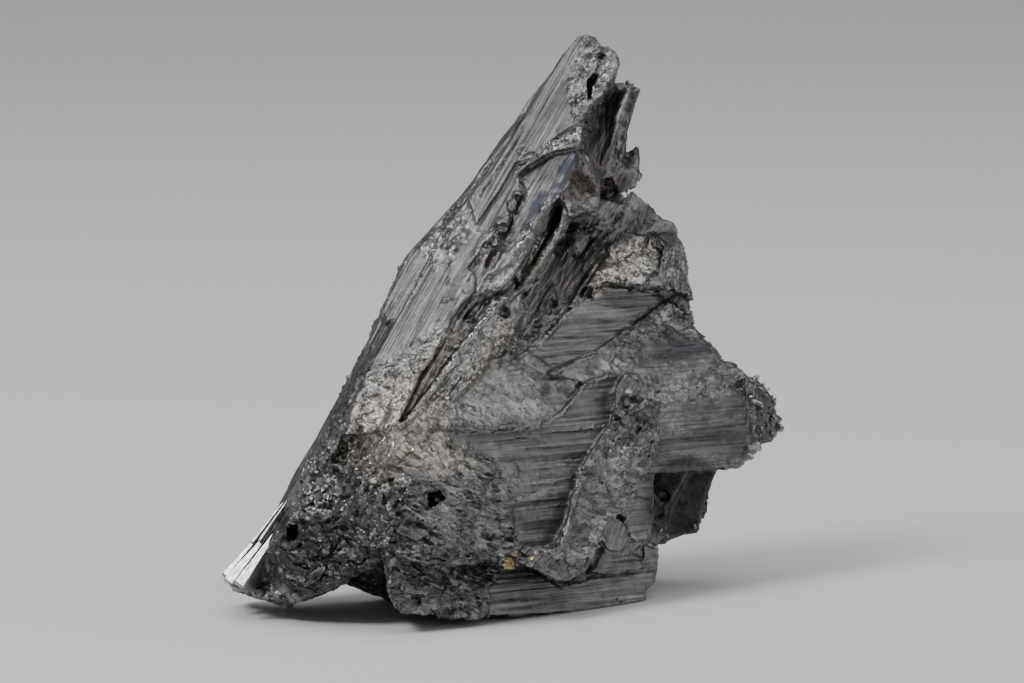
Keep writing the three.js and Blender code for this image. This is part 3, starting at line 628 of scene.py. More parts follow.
PATCHES = (
    # left flank strips
    Patch(((-24.6, 1.4), (-24.4, 3.4), (-19, 11), (-15.4, 17), (-9.8, 29.5), (-8, 32), (-7.3, 31),
        (-13.2, 19.4), (-14.8, 15), (-17.6, 11), (-19.8, 7), (-22.2, 1.6)), LEDGES, *STEEP, 7, 0.55, 0.1,
        0.4),
    # wall, flowing scales
    Patch(((-18.6, 8.6), (-17.4, 12.6), (-15.4, 15.4), (-13, 14.4), (-10, 13.2), (-7, 12.4), (-4.4, 13),
        (-2.6, 14.4), (-0.2, 12.8), (0.7, 11), (0.2, 8.4), (0.6, 6.6), (-2, 7.1), (-6, 6.4), (-10, 5.2),
        (-12, 6.5), (-14, 8.8)), SCALES, -24, 35, 5, 1.5, 0.66, 0.36, 0.8),
    Patch(((-8, 12.6), (-4.4, 13.4), (-2.6, 14), (0.6, 12.4), (0.9, 10), (0.2, 7), (-4, 7.4), (-7, 9)),
        SCALES, -10, 39, 6, 1.6, 0.5, 0.2, 2.4),
    # left lump
    Patch(((-22.2, 1.2), (-20.6, 4.4), (-19.4, 7), (-18.4, 8.8), (-17, 8.3), (-14, 8.5), (-12, 6.8),
        (-10.2, 5), (-13, 3.2), (-16, 1.5), (-19, 0.7)), FOLDS, -24, -14, 8, 2.2, 1.2, 0.46, 0.7),
    # front lump
    Patch(((-10.9, 5.4), (-10.6, 1.6), (-9, -0.3), (-4, -0.6), (-1.8, -0.2), (-1.7, 2), (-0.8, 3.8),
        (0.7, 4.6), (0.8, 6.2), (-2, 7), (-6, 6.4), (-9.9, 5.9)), SCALES, -14, 41, 4, 1.4, 0.62, 0.32, 0.6),
    # lowest course
    Patch(((-1.8, -0.4), (12.6, -0.2), (13.2, 5.6), (11.8, 6.4), (10.3, 5.2), (8, 4), (4.5, 2.7), (2.6, 3.8),
        (0.6, 4.3), (-0.8, 3.7), (-1.7, 2)), LEDGES, 2.5, 39, 14, 7, 0.5, 0.13, 0.5),
    # wall, level striations
    Patch(((-5.2, 16.2), (0, 16.1), (3.6, 16.4), (6.6, 19.6), (9, 20.4), (9.3, 17.6), (8.5, 15.8),
        (7.5, 14.2), (6.4, 12.2), (5.6, 10), (5, 8), (4.2, 6.1), (1, 5.5), (0.7, 7), (0.4, 9.4), (0.9, 12),
        (-1.4, 13.6), (-4, 15)), LEDGES, 4, 39, 6.5, 6.5, 0.56, 0.17, 0.9),
    # crust
    Patch(((4.4, 2.9), (6.6, 3.7), (7.4, 5.1), (8.3, 7.2), (9.6, 8.6), (10.5, 9.9), (11.2, 11.6),
        (12.4, 12.9), (13.3, 14.8), (12.7, 16.6), (11.9, 18.2), (9.4, 18), (8.9, 16.4), (7.4, 14), (6, 11.9),
        (5.3, 9.6), (4.9, 7.6), (4, 5.8), (1, 4.7), (2.6, 3.8)), SCALES, 20, 40, 12, 1, 0.5, 0.12, 0.5),
    Patch(((8.6, 13.6), (10, 12.8), (12.6, 13.6), (13.4, 15.2), (12.4, 18), (11.6, 19.4), (10.4, 18.8),
        (9, 17), (8.4, 15.2)), GRAINS, 30, 40, 12, 0.9, 0.7, 0.3, 0.6),
    # ledges right of the crust
    Patch(((10.1, 8.6), (10.2, 6.3), (11.9, 6.2), (12.6, 8), (12.7, 12), (11.5, 12), (10.7, 10)), LEDGES, 6,
        40, 6, 4, 0.7, 0.2, 0.3),
    # slope above the wall's crest
    Patch(((-9, 16.9), (-4, 16.5), (0, 16.3), (3.4, 16.7), (5.2, 17.9), (6.6, 19.9), (9.4, 20.7),
        (8.4, 22.2), (3.4, 21.2), (1.2, 22.8), (-1.6, 21.6), (-4, 20), (-6.6, 18.2)), SMOOTH, 5, 38, 35, 1.3,
        0.4, 0.08, 0.6, 0.5),
    # striated triangle
    Patch(((1.2, 22.5), (3.5, 21.3), (7, 22.1), (8.8, 23.1), (11, 25), (13.4, 26.8), (13.6, 27.9),
        (11, 28.2), (8, 28.3), (6, 26.7), (4, 25.1)), LEDGES, 3, 35, 26, 6, 0.62, 0.15, 0.4),
    # right block
    Patch(((12.4, 11.8), (20.2, 12.2), (21.8, 13.2), (22.1, 19.1), (15, 18.1), (13, 17.4), (13.3, 15)),
        LEDGES, 3, 37, 7, 6, 0.5, 0.13, 0.5, 0.8),
    Patch(((12.6, 17.7), (15, 18.1), (21.8, 19), (20.8, 21.2), (19, 22), (16.8, 24.4), (14.4, 27.3),
        (11, 25.3), (8.4, 22.6), (9.4, 20.9), (11.6, 19.6)), GRAINS, 20, 35, 30, 1.1, 0.6, 0.16, 0.5, 0.8),
    Patch(((11.2, 20.6), (14.8, 20), (17.6, 21), (18.4, 22.2), (16.4, 23.6), (13, 23.4), (10.6, 22.4)),
        LEDGES, 4, 35, 30, 5, 0.5, 0.14, 0.8, 0.7),
    # rear block
    Patch(((13.2, 5.6), (17.2, 6.6), (18.2, 10.6), (19.8, 12.4), (12.9, 12), (14, 8.6)), SMOOTH, 20, 8, 14,
        1.6, 1.2, 0.12, 0.4, 0.3),
    # rough mound at the shoulder
    Patch(((6.8, 28.4), (8.4, 31), (10.4, 32.9), (12.4, 33.2), (13.6, 31.6), (14.2, 29.6), (13.7, 28.1),
        (10, 28.7)), FOLDS, 40, 20, 36, 2.8, 1.9, 0.2, 0.5),
    Patch(((13.6, 28.2), (14.2, 31.4), (15.4, 33), (16.2, 30), (16, 28)), GRAINS, 60, 44, 16, 0.9, 0.5, 0.16,
        0.3),
    # recess with needles
    Patch(((0.2, 24.4), (1.8, 27), (3, 29.2), (4.6, 32), (5, 34), (7.6, 35.2), (8.4, 38), (10, 38.4),
        (11.6, 37), (13.4, 34.6), (11, 33.2), (8.4, 31), (6.9, 28.5), (5.6, 26.9), (3, 25.4), (1.2, 23.4)),
        LEDGES, 57, 38, 24, 4.5, 0.4, 0.12, 0.5),
    Patch(((5, 34.2), (4.9, 36.6), (5.7, 38.4), (7.1, 37.8), (8, 36), (7.7, 34.8), (6.2, 34.6)), FOLDS, -28,
        38, 14, 1, 0.7, 0.16, 0.3),
    # blade
    Patch(((-12.9, 21.4), (-11, 25.4), (-9.4, 28.6), (-7.6, 31.4), (-6, 33.4), (-4, 34.4), (-2.6, 33.4),
        (-1.6, 32), (-3, 30.4), (-3.8, 29.2), (-3, 28), (-4.2, 26.4), (-5.3, 24.8), (-6, 23), (-8, 21.2),
        (-10, 20.8)), LEDGES, *STEEP, 4.5, 0.5, 0.06, 0.8),
    Patch(((-8, 31.6), (-6.1, 33.9), (-4.4, 36.2), (-3.2, 35), (-3.2, 32.4), (-5, 30), (-6.6, 29.6)), GRAINS,
        60, -16, 32, 0.9, 0.55, 0.12, 0.8),
    Patch(((-4.2, 35.4), (-1.5, 39), (0.5, 42.2), (3, 46.7), (5.8, 50.4), (6.7, 50.3), (6, 48), (5, 45.5),
        (5.2, 44), (5.5, 42.4), (4.2, 41.5), (2.4, 40), (0.9, 39), (1, 37.4), (0.5, 36.2), (-0.2, 34.4),
        (-1.2, 33.3), (-3, 33)), LEDGES, *STEEP, 8, 0.55, 0.07, 0.4),
    # rough tip and column
    Patch(((5.9, 50.6), (7.4, 50.6), (8.4, 49.6), (9.9, 48), (9.4, 46.4), (8.1, 44.4), (7, 42.6), (6, 42.4),
        (5.3, 43.5), (5, 45.5), (5.8, 47.6), (6.4, 49.2)), GRAINS, 60, -16, 32, 0.8, 0.5, 0.14, 0.6),
    # band of broken crystal between blade and middle blade
    Patch(((0.8, 40), (2.6, 40.1), (4.3, 41.4), (5.9, 42.4), (6.4, 41), (5, 40.4), (3.8, 39.8), (2.2, 38.6),
        (1.6, 36.2), (0.9, 36.6)), GRAINS, 50, -16, 32, 0.8, 0.5, 0.14, 0.3),
    # middle blade
    Patch(((2, 38.6), (4, 40), (5.4, 40.4), (6, 39), (5.2, 37), (4.4, 36.1), (3.2, 35.1), (2.2, 33.6),
        (1, 32), (-0.4, 31.4), (-1.4, 30), (0, 33), (1.2, 35)), LEDGES, 57, -16, 32, 5, 0.5, 0.05, 0.5),
    # ribs
    Patch(((-9, 16.4), (-6, 21.5), (-4.6, 24.2), (-2.6, 27), (-1.8, 28.8), (0.4, 30), (2, 32), (4, 36),
        (5, 36), (5, 33.6), (3.6, 31), (2.2, 28.6), (0.9, 26.6), (0.6, 25), (-1, 22.4), (-3.2, 20),
        (-5.6, 17.8), (-7.4, 16.6)), GRAINS, 55, 30, 10, 1.1, 0.36, 0.11, 0.5),
    # gritty middle left
    Patch(((-15.6, 15.4), (-14.8, 18), (-12.9, 21.4), (-9.6, 22.2), (-6.4, 24.8), (-5, 25), (-6.4, 22.4),
        (-8.2, 19.6), (-9.4, 16.9), (-7.4, 16.7), (-5, 16.2), (-4.2, 14.6), (-4.8, 13), (-7, 12.4),
        (-10, 13.2), (-13, 14.4)), GRAINS, -10, -10, 24, 0.85, 0.6, 0.17, 0.8),
    # warm grit under the tip of the valley
    Patch(((-12.6, 14.2), (-11, 15.8), (-9, 16.6), (-5, 16.2), (-4.2, 14.6), (-5, 12.8), (-7.4, 12),
        (-10.4, 12.8)), GRAINS, -20, 30, 20, 1.2, 0.8, 0.3, 0.9),
    # second blade
    Patch(((6.6, 39.2), (7.5, 42), (8.4, 44.6), (9, 46.4), (10.6, 46.6), (12, 45.8), (11, 43), (10.5, 40),
        (9.2, 38.2)), LEDGES, 72, 12, 6, 2.5, 0.45, 0.2, 0.3),
    Patch(((9, 39), (9.5, 42), (10.2, 45.2), (10.8, 46.8), (12.4, 46), (11.4, 43), (11, 40), (10.4, 38.6)),
        GRAINS, 72, 12, 6, 1.1, 0.6, 0.2, 0.3),
)

STROKES = tuple(Stroke(tuple(line), width, height) for width, height, *line in (
    # ridges
    (0.3, 0.16, (4.5, 36), (4.9, 35.2), (4.6, 33.8), (3.6, 32), (2.4, 30), (1.1, 28.2)),
    (0.4, 0.2, (1.1, 28.2), (-0.4, 26.9), (-2.3, 25.1), (-3.5, 23.5), (-5, 21.5)),
    (0.4, 0.2, (-8.4, 16.9), (-6.6, 19.4), (-5, 21.6), (-3.6, 23.6)),
    (0.36, 0.22, (-5.6, 18.2), (-3.8, 20.6), (-2.2, 22.8), (-1, 24.6)),
    (0.16, 0.14, (1.9, 39.4), (3.2, 40.4), (4.4, 41.6), (5.7, 42.3), (6.1, 41.4), (6.2, 40.8)),
    (0.28, 0.18, (6.3, 4.1), (7.4, 5.5), (7.7, 6.8), (8.3, 7.9), (9.2, 8.5), (9.9, 9), (10.7, 10),
     (11.3, 11.6)),
    (0.2, 0.16, (3.4, 16.5), (5.3, 17.8), (6.2, 19), (6.6, 19.7), (7.8, 20.3), (9.8, 20.6)),
    (0.2, 0.1, (-7.6, 16.9), (-5, 16.7), (-2, 16.4), (0, 16.2)),
    (0.3, 0.22, (0.6, 21.9), (2.5, 23.2), (4.2, 24.9), (5.5, 26.3), (6.2, 27.2), (7.4, 28.3)),
    (0.32, 0.2, (9, 39.4), (9.2, 41.5), (9.5, 43), (10, 44.5), (10.7, 45.8)),
    (0.16, 0.16, (0.6, 15.9), (3, 15.7), (5, 15.95), (8.2, 16.1)),
    (0.16, 0.14, (1, 11.4), (3, 11.3), (5, 11.7), (5.8, 12)),
    (0.1, 0.1, (2, 9.3), (3.6, 9.4), (5.2, 9.6)),
    (0.3, 0.12, (3.4, 20.6), (5, 21.2), (6.4, 22), (8, 22.5)),
    (0.2, 0.14, (7, 43.2), (7.2, 44.6), (7.5, 45.8), (8, 46.9), (8.8, 47.2)),
    (0.26, 0.3, (-22.5, 1.9), (-21.4, 4.2), (-20.5, 5.8), (-19.8, 7.1)),
    (0.22, 0.2, (-23.9, 3), (-22.4, 4.6), (-21.2, 5.8)),
    (0.14, 0.12, (-21.4, 6.4), (-20.4, 7.6), (-19.6, 9)),
    (0.5, 0.3, (-20, 4), (-19.2, 3.2), (-18, 2.9), (-17, 3.5), (-15.8, 4), (-14.4, 3.4)),
    (0.4, 0.2, (-17.9, 7.2), (-16.4, 6.4), (-14.4, 6.6), (-12.6, 6)),
    (0.14, 0.12, (-8.9, 17), (-7.4, 19.8), (-5.7, 22.4), (-4.2, 24.6), (-2.9, 26.4)),
    (0.16, 0.14, (-8.3, 17.4), (-6.8, 19.8), (-5.2, 22.2), (-3.8, 24)),
    (0.13, 0.12, (-7.2, 21.2), (-5.6, 23.6), (-4.2, 25.7), (-2.6, 27.6)),
    # grooves
    (0.4, -0.5, (0.8, 4.25), (2.2, 3.9), (3.4, 3.2), (4.4, 2.6)),
    (0.3, -0.4, (-3, 7.3), (-1.5, 6.9), (0.5, 6.5)),
    (0.24, -0.24, (6.2, 12.3), (5.8, 11), (5.3, 9.3), (5, 7.8), (4.2, 6)),
    (0.3, -0.26, (4.4, 2.4), (6.5, 2.9), (8.4, 3.4), (11.8, 3.6)),
    (0.28, -0.4, (-17.8, 8.1), (-16, 7.9), (-14.6, 8.6)),
    (0.24, -0.3, (-20.8, 4.4), (-19.6, 4), (-18.4, 2.2)),
    (0.16, -0.3, (-18.8, 4.6), (-17.4, 4), (-16.2, 4.3)),
    (0.16, -0.14, (-0.6, 38.9), (0.8, 41.2), (1.3, 42.6)),
    (0.2, -0.18, (-3.2, 34.7), (-1.8, 37.2), (-0.6, 39)),
    (0.16, -0.08, (-9.6, 25.2), (-8.2, 27.6), (-7, 30.2), (-6.4, 31.6)),
    (0.34, -0.12, (8.8, 23.1), (10.6, 24.6), (11.6, 25.6), (12.4, 26.4), (13.6, 27.2)),
    (0.2, -0.14, (7.3, 28.15), (8.2, 28.5), (10, 28.5), (12, 28.1)),
    (0.2, -0.2, (11, 33), (11.8, 33.6), (12.8, 34.2)),
    (0.3, -0.25, (8, 31.6), (8.8, 33), (9.8, 34.6)),
    (0.16, -0.2, (0.6, 16), (-2, 15.8), (-5, 15.9)),
    (0.12, -0.14, (0.6, 15.2), (4, 15.5), (8, 15.9)),
    (0.12, -0.12, (2.4, 13.2), (4.6, 13.3), (6.8, 13.6)),
    (0.2, -0.1, (4.2, 10.6), (2, 10.4), (0.6, 10.1)),
    (0.3, -0.08, (12.8, 17.7), (15, 18.1), (18, 18.8), (21.4, 19.1)),
    (0.2, -0.2, (-6, 18.2), (-4.4, 20), (-3, 21.4)),
    (0.22, -0.16, (-7, 17.6), (-5.2, 20), (-3.4, 22.4), (-2, 24.2)),
    (0.2, -0.22, (-3.4, 20), (-1.6, 22.2), (-0.4, 24)),
    (0.2, -0.2, (-0.9, 22.8), (-0.2, 24.4), (1, 25.8)),
    (0.2, -0.25, (3.8, 41), (4.6, 41.2), (5.2, 41)),
    (0.2, -0.2, (13.8, 28.4), (14.2, 30.4), (14.8, 32)),
    (0.26, -0.25, (-14.4, 14.4), (-13.4, 14.5), (-12.8, 15)),
))

PITS = (
    # u, v, half width, half height, depth
    (-6.3, 10.2, 0.75, 0.6, 1.2), (-18.5, 7.1, 0.42, 0.8, 0.8), (-18.1, 7.75, 0.3, 0.36, 0.7),
    (-18.95, 6.5, 0.26, 0.42, 0.6), (-18.1, 6.3, 0.2, 0.3, 0.4), (-0.1, 25.95, 0.45, 0.4, 0.8),
    (2.6, 25.05, 0.24, 0.26, 0.6), (3.95, 27.1, 0.3, 0.5, 0.5), (7.6, 28.3, 0.5, 0.2, 0.4),
    (5.7, 11.9, 0.3, 0.14, 0.3), (10.4, 18.2, 1, 0.4, 0.7), (9.6, 17, 0.5, 0.35, 0.5),
    (-12.6, 16, 0.24, 0.26, 0.35), (-8.4, 13, 0.25, 0.2, 0.3), (-14.5, 5.8, 0.18, 0.16, 0.3),
    (-4.3, 3.5, 0.16, 0.22, 0.3), (-2.5, 0.95, 0.24, 0.2, 0.35), (7.8, 48.3, 0.24, 0.4, 0.3),
    (5.9, 33.4, 0.8, 0.3, 0.6), (6.1, 31.1, 0.4, 0.14, 0.35), (4.7, 32.4, 0.22, 0.6, 0.4),
    (-17.4, 11.5, 0.22, 0.4, 0.4), (-3.4, 25.3, 0.5, 0.3, 0.25), (-5.2, 28.6, 0.12, 0.4, 0.14),
    (4.7, 40.9, 0.5, 0.16, 0.3), (-12.2, 11.3, 0.3, 0.2, 0.25),
)

FILLS = (
    Fill(((2.6, 20.9), (4, 21), (5.2, 21.4), (7.1, 21.9), (7.4, 20.2), (6.6, 19.1), (5.6, 17.7), (3.8, 18.6),
        (2.4, 20)), (-2.0, 0.36, 0.2), 3, 1.1),
    # strip left of the blade
    Fill(((-7.2, 28.4), (-5.9, 31.6), (-5, 33.7), (-6.6, 33.6), (-8.7, 31.3), (-10.1, 29), (-11.3, 26.4),
        (-10.8, 24.6), (-8.8, 25.4)), (-6.4, -0.43, 0.69), 1.3, 0.6),
    # valley between the blade and the ribs
    Fill(((-9.4, 16.5), (-8.5, 19), (-7, 21.5), (-5.2, 24.2), (-3.4, 26.3), (-2.2, 27.9), (-1.2, 27.6),
        (-2.4, 25.5), (-4, 23.3), (-5.6, 20.9), (-6.9, 18.4), (-8, 16.5)), (-12.6, 1.0, -0.12), 6, 0.5),
    # top of the striated triangle
    Fill(((7.2, 26.6), (13.2, 26.4), (13.7, 28.1), (12, 28.5), (8, 28.7), (7, 28.4)), (4.43, 0.7, 0.0), 1.6,
        0.4),
    Fill(((9.2, 8.4), (9.5, 9.6), (10.8, 10.7), (11.2, 10.2), (10.6, 8.6), (10.1, 7.9)), (-1.7, 0.8, 0)),
    Fill(((7.6, 6.1), (7.6, 7.3), (8.8, 7.2), (8.8, 6.1)), (-3.6, 0.8, 0)),
    Fill(((11.9, 31.6), (12.2, 33.5), (13.2, 33.6), (14.2, 32.6), (14.2, 31.4), (13, 31)), (7.6, 0.3, 0)),
    Fill(((8.2, 14.2), (8.3, 15.6), (9.2, 16.9), (9.7, 16.5), (9, 15), (8.7, 14)), (-2.2, 0.8, 0)),
)


@dataclass(frozen=True)
class Ground:
    """The fine relief of the whole fragment.

    Attributes:
        patches: Reliefs of the front, where a later one lies over an earlier one.
        strokes: Drawn ridges and grooves.
        pits: Drawn pits: u, v, half width, half height and depth, in mm.
        fills: Rock that levels gaps before the relief is added.
        flank: Relief of what faces left.
        broken: Relief of the broken parts of the sides and the back.
        stepped: Relief of their striated parts.
        patch_stray: How far the patches' borders stray, in mm, and how finely.
        stroke_stray: How far the drawn lines stray, in mm, and how finely.
    """

    patches: tuple[Patch, ...] = PATCHES
    strokes: tuple[Stroke, ...] = STROKES
    pits: tuple[tuple[float, ...], ...] = PITS
    fills: tuple[Fill, ...] = FILLS
    flank: Patch = Patch((), LEDGES, 58, -40, 30, 8, 0.7, 0.14)
    broken: Patch = Patch((), SCALES, 20, 20, 10, 2.0, 1.2, 0.34)
    stepped: Patch = Patch((), LEDGES, 60, 30, 0, 7, 0.9, 0.36)
    patch_stray: tuple[float, float] = (0.5, 0.9)
    stroke_stray: tuple[float, float] = (0.16, 2.4)

    def facing(self, normals: np.ndarray) -> np.ndarray:
        """Return how much each point faces the viewer, from 0 to 1."""
        return smooth_step((-normals[:, 1] + 0.05) / 0.35)

    def leftward(self, normals: np.ndarray) -> np.ndarray:
        """Return how much each point faces left, from 0 to 1."""
        return smooth_step((-normals[:, 0] - 0.25) / 0.4)

    def lined(self, points: np.ndarray) -> np.ndarray:
        """Return where the back is striated rather than broken, from 0 to 1."""
        return smooth_step(0.5 + 1.6 * Noise(5).value(points / 9))

    def stray(self, points: np.ndarray, reach: float, scale: float) -> tuple[np.ndarray, np.ndarray]:
        """Move points' places on the sheet a little, so that drawn borders turn ragged.

        Args:
            points: Points of the sheet frame, in mm.
            reach: How far they stray, in mm.
            scale: How finely they stray, per mm.

        Returns:
            The points' u and v, in mm.
        """
        return tuple(points[:, axis] + reach * (Noise(axis + 40).value(points * scale)
                                                + 0.6 * Noise(axis + 50).value(points * scale * 2.7))
                     for axis in (0, 2))

    def rest(self, points: np.ndarray, normals: np.ndarray) -> np.ndarray:
        """Raise the relief of the flank, the sides and the back.

        Args:
            points: Points of the sheet frame, in mm.
            normals: Their normals.

        Returns:
            One height for each point, in mm.
        """
        left, mix = self.leftward(normals), self.lined(points)
        back = self.stepped.relief(points, 61) * mix + self.broken.relief(points, 62) * (1 - mix)
        return self.flank.relief(points, 63) * left + back * (1 - left)

    def relief(self, points: np.ndarray, normals: np.ndarray) -> np.ndarray:
        """Raise the whole relief.

        Args:
            points: Points of the sheet frame, in mm.
            normals: Their normals.

        Returns:
            How far each point is moved out, in mm.
        """
        facing = self.facing(normals)
        total = self.rest(points, normals)
        u, v = self.stray(points, *self.patch_stray)
        for number, patch in enumerate(self.patches):
            weight = patch.weight(u, v) * facing
            some = weight > 0.002
            own = patch.relief(points[some], number + 3)
            total[some] += weight[some] * (own - total[some])
        u, v = self.stray(points, *self.stroke_stray)
        waver = np.clip(0.75 + 0.8 * Noise(9).value(points * 0.9), 0.1, 1.3)
        for stroke in self.strokes:
            total += stroke.relief(u, v) * facing * waver
        ragged = 1 + 0.55 * Noise(14).value(points * 1.9)
        for pu, pv, wide, high, deep in self.pits:
            away = np.hypot((u - pu) / wide, (v - pv) / high) * ragged
            total -= deep * smooth_step(1.35 - away) * facing
        return total


# ---- Colour over the surface, with painted shade and light -----------------------------------------


class Tint(Enum):
    """What is recorded at each point of the skin: the layer and the channel that hold it."""

    WARM = ("tints", 0)
    TARNISH = ("tints", 1)
    BROWN = ("tints", 2)
    # DARK: mostly painted shade, partly darker ground.
    DARK = ("finish", 0)
    GRIT = ("finish", 1)
    # BRIGHT: painted light and painted highlights.
    BRIGHT = ("finish", 2)
    # EDGE: drives painted highlights on sharp edges and painted shade in hollows.
    EDGE = ("finish", 3)
    LEVEL = ("lines", 0)
    STEEP = ("lines", 1)
    WHITE = ("lines", 2)


@dataclass(frozen=True)
class StainAndPaintedLight:
    """An oval of colour on the front: a real stain or film, or a patch of painted shade or painted light.

    Attributes:
        tint: What it changes.
        centre: Its middle on the sheet, in mm.
        size: Half its length and half its width, in mm.
        heading: Direction of its length, in degrees up from level.
        strength: How strong it is in its middle, from 0 to 1.
        ragged: How uneven its edge is.
    """

    tint: Tint
    centre: tuple[float, float]
    size: tuple[float, float]
    heading: float = 0.0
    strength: float = 1.0
    ragged: float = 0.35

    def amount(self, points: np.ndarray) -> np.ndarray:
        """Find how strong the stain is.

        Args:
            points: Points of the sheet frame, in mm.

        Returns:
            A strength from 0 to 1 for each point.
        """
        du, dv = points[:, 0] - self.centre[0], points[:, 2] - self.centre[1]
        cos, sin = math.cos(math.radians(self.heading)), math.sin(math.radians(self.heading))
        away = np.hypot((du * cos + dv * sin) / self.size[0], (dv * cos - du * sin) / self.size[1])
        amount = np.zeros(len(points))
        near = away < 2.2
        uneven = Noise(31).value(points[near] * 1.3) + 0.6 * Noise(32).value(points[near] * 3.7)
        amount[near] = self.strength * smooth_step((1.25 - away[near] + self.ragged * uneven) / 0.4)
        return amount


# Each oval: the middle, half the length and half the width, then what else it needs.
STAINS_AND_PAINTED_LIGHT = tuple(StainAndPaintedLight(tint, (u, v), (length, width), *rest) for tint, ovals in {
    Tint.WARM: (
        (-9.5, 16.2, 5.6, 3.4, 55, 0.7), (-7.2, 14, 3.4, 1.7, -10, 0.8), (-7, 20.8, 4.2, 1.2, 55, 0.5),
        (-1.6, 22.4, 3.4, 0.8, 60, 0.7), (10, 30.2, 3.2, 1.5, 30, 0.8), (2.4, 30.4, 4.6, 0.7, 60, 0.5),
    ),
    Tint.TARNISH: (
        (5.1, 38.4, 1.6, 0.55, 62, 1, 0.9), (2.4, 35.2, 1.3, 0.4, 62, 1, 0.9),
        (4.4, 37, 0.6, 0.24, 10, 0.8, 0.6), (5.9, 44.5, 0.9, 0.5, 30, 0.5),
        (15.2, 22.6, 2.2, 0.5, 5, 0.5, 0.7), (16.6, 17.4, 2.4, 0.4, 4, 0.35, 0.7),
        (20.2, 18, 1.5, 0.7, 10, 0.4, 0.7), (20.4, 14.2, 1.2, 0.7, 10, 0.4, 0.7),
        (-7.6, 17.6, 1.6, 0.5, 50, 0.3), (13.9, 32.6, 0.9, 0.8, 0, 0.5),
    ),
    Tint.BROWN: (
        (5.4, 29.8, 4.2, 1.4, 58, 0.35), (6.4, 37.4, 1.3, 0.7, -40, 1, 0.6), (6, 35.9, 1, 0.5, 0, 0.6, 0.6),
        (8.4, 39.8, 2.4, 0.5, 66, 0.6), (9, 37, 1.8, 1, 40, 0.45), (-5.4, 22.6, 5.4, 0.5, 57, 0.4, 0.7),
        (13.2, 9, 1.4, 0.5, 110, 0.6), (-1.7, 30.3, 1.2, 0.3, 64, 0.8), (2.9, 33.7, 2, 0.3, 64, 0.5, 0.6),
        (10.4, 27.4, 3, 0.5, 0, 0.3),
    ),
    # DARK ovals: mostly painted shade, on the rear block turned from the light, in thin shadow lines under
    # the crest and the ledges, and in the crust's shadow on the lowest course; a few mark darker ground.
    Tint.DARK: (
        (6.4, 37.4, 1.3, 0.7, -40, 0.5, 0.6), (8, 43.2, 3.6, 0.9, 66, 1), (11.2, 43, 3.4, 0.7, 80, 0.9, 0.6),
        (15.6, 9.6, 4, 3.6, 60, 1, 0.1), (17.6, 15.2, 5.4, 2.6, 5, 0.5, 0.5),
        (14.8, 22.6, 4.6, 2.2, -20, 0.6, 0.6), (11, 16.4, 2.4, 1.1, 40, 0.55),
        (1.6, 41, 9, 2.4, 58, 0.22, 0.8), (-13.2, 19.6, 5.6, 0.5, 62, 0.6), (-10.6, 25, 4.6, 0.35, 60, 0.5),
        (3.2, 19.3, 0.6, 0.34, 65, 0.8), (-16, 4.8, 7, 3.4, -8, 1, 0.5), (13.9, 32.5, 1, 0.8, 0, 0.6),
        (-6, 3, 5.5, 2.6, 0, 0.5, 0.6), (-12, 9.5, 4.4, 2.2, -20, 0.5, 0.6), (2.6, 8.2, 3, 1.8, 3, 0.35, 0.6),
        (4, 3, 6, 1.6, 5, 0.4, 0.6), (22.6, 17, 3.4, 0.9, 84, 0.55), (6, 33, 1.2, 0.7, 20, 0.4),
        (11.6, 34, 1.8, 0.6, 50, 0.6), (0.3, 27.9, 2.2, 0.35, 45, 0.4), (2.8, 9.7, 2.4, 0.4, 3, 0.4),
        (5.4, 15.4, 2.6, 0.35, 4, 0.4), (12.4, 25.6, 2.4, 0.3, 42, 0.5), (15.1, 26.6, 1.2, 0.9, 90, 0.5),
        (-0.6, 15.2, 3.6, 0.6, -8, 0.45, 0.6),
    ),
    # BRIGHT ovals: painted light on faces that should catch the lamps, painted highlights along crest lines
    # and on the tail plates.
    Tint.BRIGHT: (
        (-5.2, 22.2, 6.6, 0.9, 56, 0.5, 0.6), (-22.6, 3.4, 1.9, 0.9, 50, 1, 0.1),
        (-20.6, 5.6, 2.2, 0.28, 63, 1, 0.1), (-1.8, 31.8, 2.2, 0.55, 50, 1), (3.6, 32, 4.2, 0.4, 62, 0.8),
        (10.2, 30.4, 3.4, 1.9, 30, 1, 0.4), (3.8, 40.5, 2.6, 0.3, 28, 1, 0.5),
        (-8, 14.4, 3.4, 1.5, -12, 0.65, 0.7), (14.6, 16.3, 1.6, 0.9, 20, 0.6, 0.9),
        (17, 13.6, 2.8, 0.4, 4, 0.5, 0.8), (18.8, 16.9, 2, 0.5, 4, 0.45, 0.9),
        (16.6, 20.6, 2.4, 0.9, 12, 0.6, 0.9), (13.4, 25.2, 1.6, 0.6, 50, 0.6, 0.9),
        (9.6, 21.6, 2.2, 0.5, 20, 0.6, 0.9), (0.4, 17.6, 2.4, 0.6, 4, 0.5, 1),
        (9.6, 13.2, 1.2, 0.5, 50, 0.5, 0.9), (4, 25, 4.4, 0.3, 49, 0.6, 0.6),
        (7.4, 6.6, 1.8, 0.3, 60, 0.7, 0.8), (8.2, 46.9, 0.8, 0.4, 20, 0.7), (5.8, 45.8, 1, 0.4, 60, 0.5),
        (9.6, 43.4, 2.6, 0.4, 74, 1, 0.6), (1.6, 32.8, 1.6, 0.25, 56, 0.8), (17.6, 20.4, 1.2, 0.6, 20, 0.5),
        (13.6, 15.8, 0.9, 0.5, 30, 0.6), (-2.6, 18.6, 5.4, 1.9, 10, 0.35, 0.6),
        (-6.6, 13.2, 2.2, 0.8, -20, 0.5), (-2.9, 22.4, 5.4, 1.2, 54, 1, 0.5), (-7.2, 17.6, 1.6, 0.5, 45, 0.8),
        (-4.4, 17.8, 1.6, 0.6, -10, 0.8, 0.6), (-15.6, 9.9, 1.8, 1, -10, 0.7, 0.6),
        (2.2, 12.4, 3, 0.5, 4, 0.4, 0.6),
    ),
    Tint.WHITE: (
        (10.5, 19.15, 0.3, 0.13, -10, 1, 0.3),
    ),
}.items() for u, v, length, width, *rest in ovals)


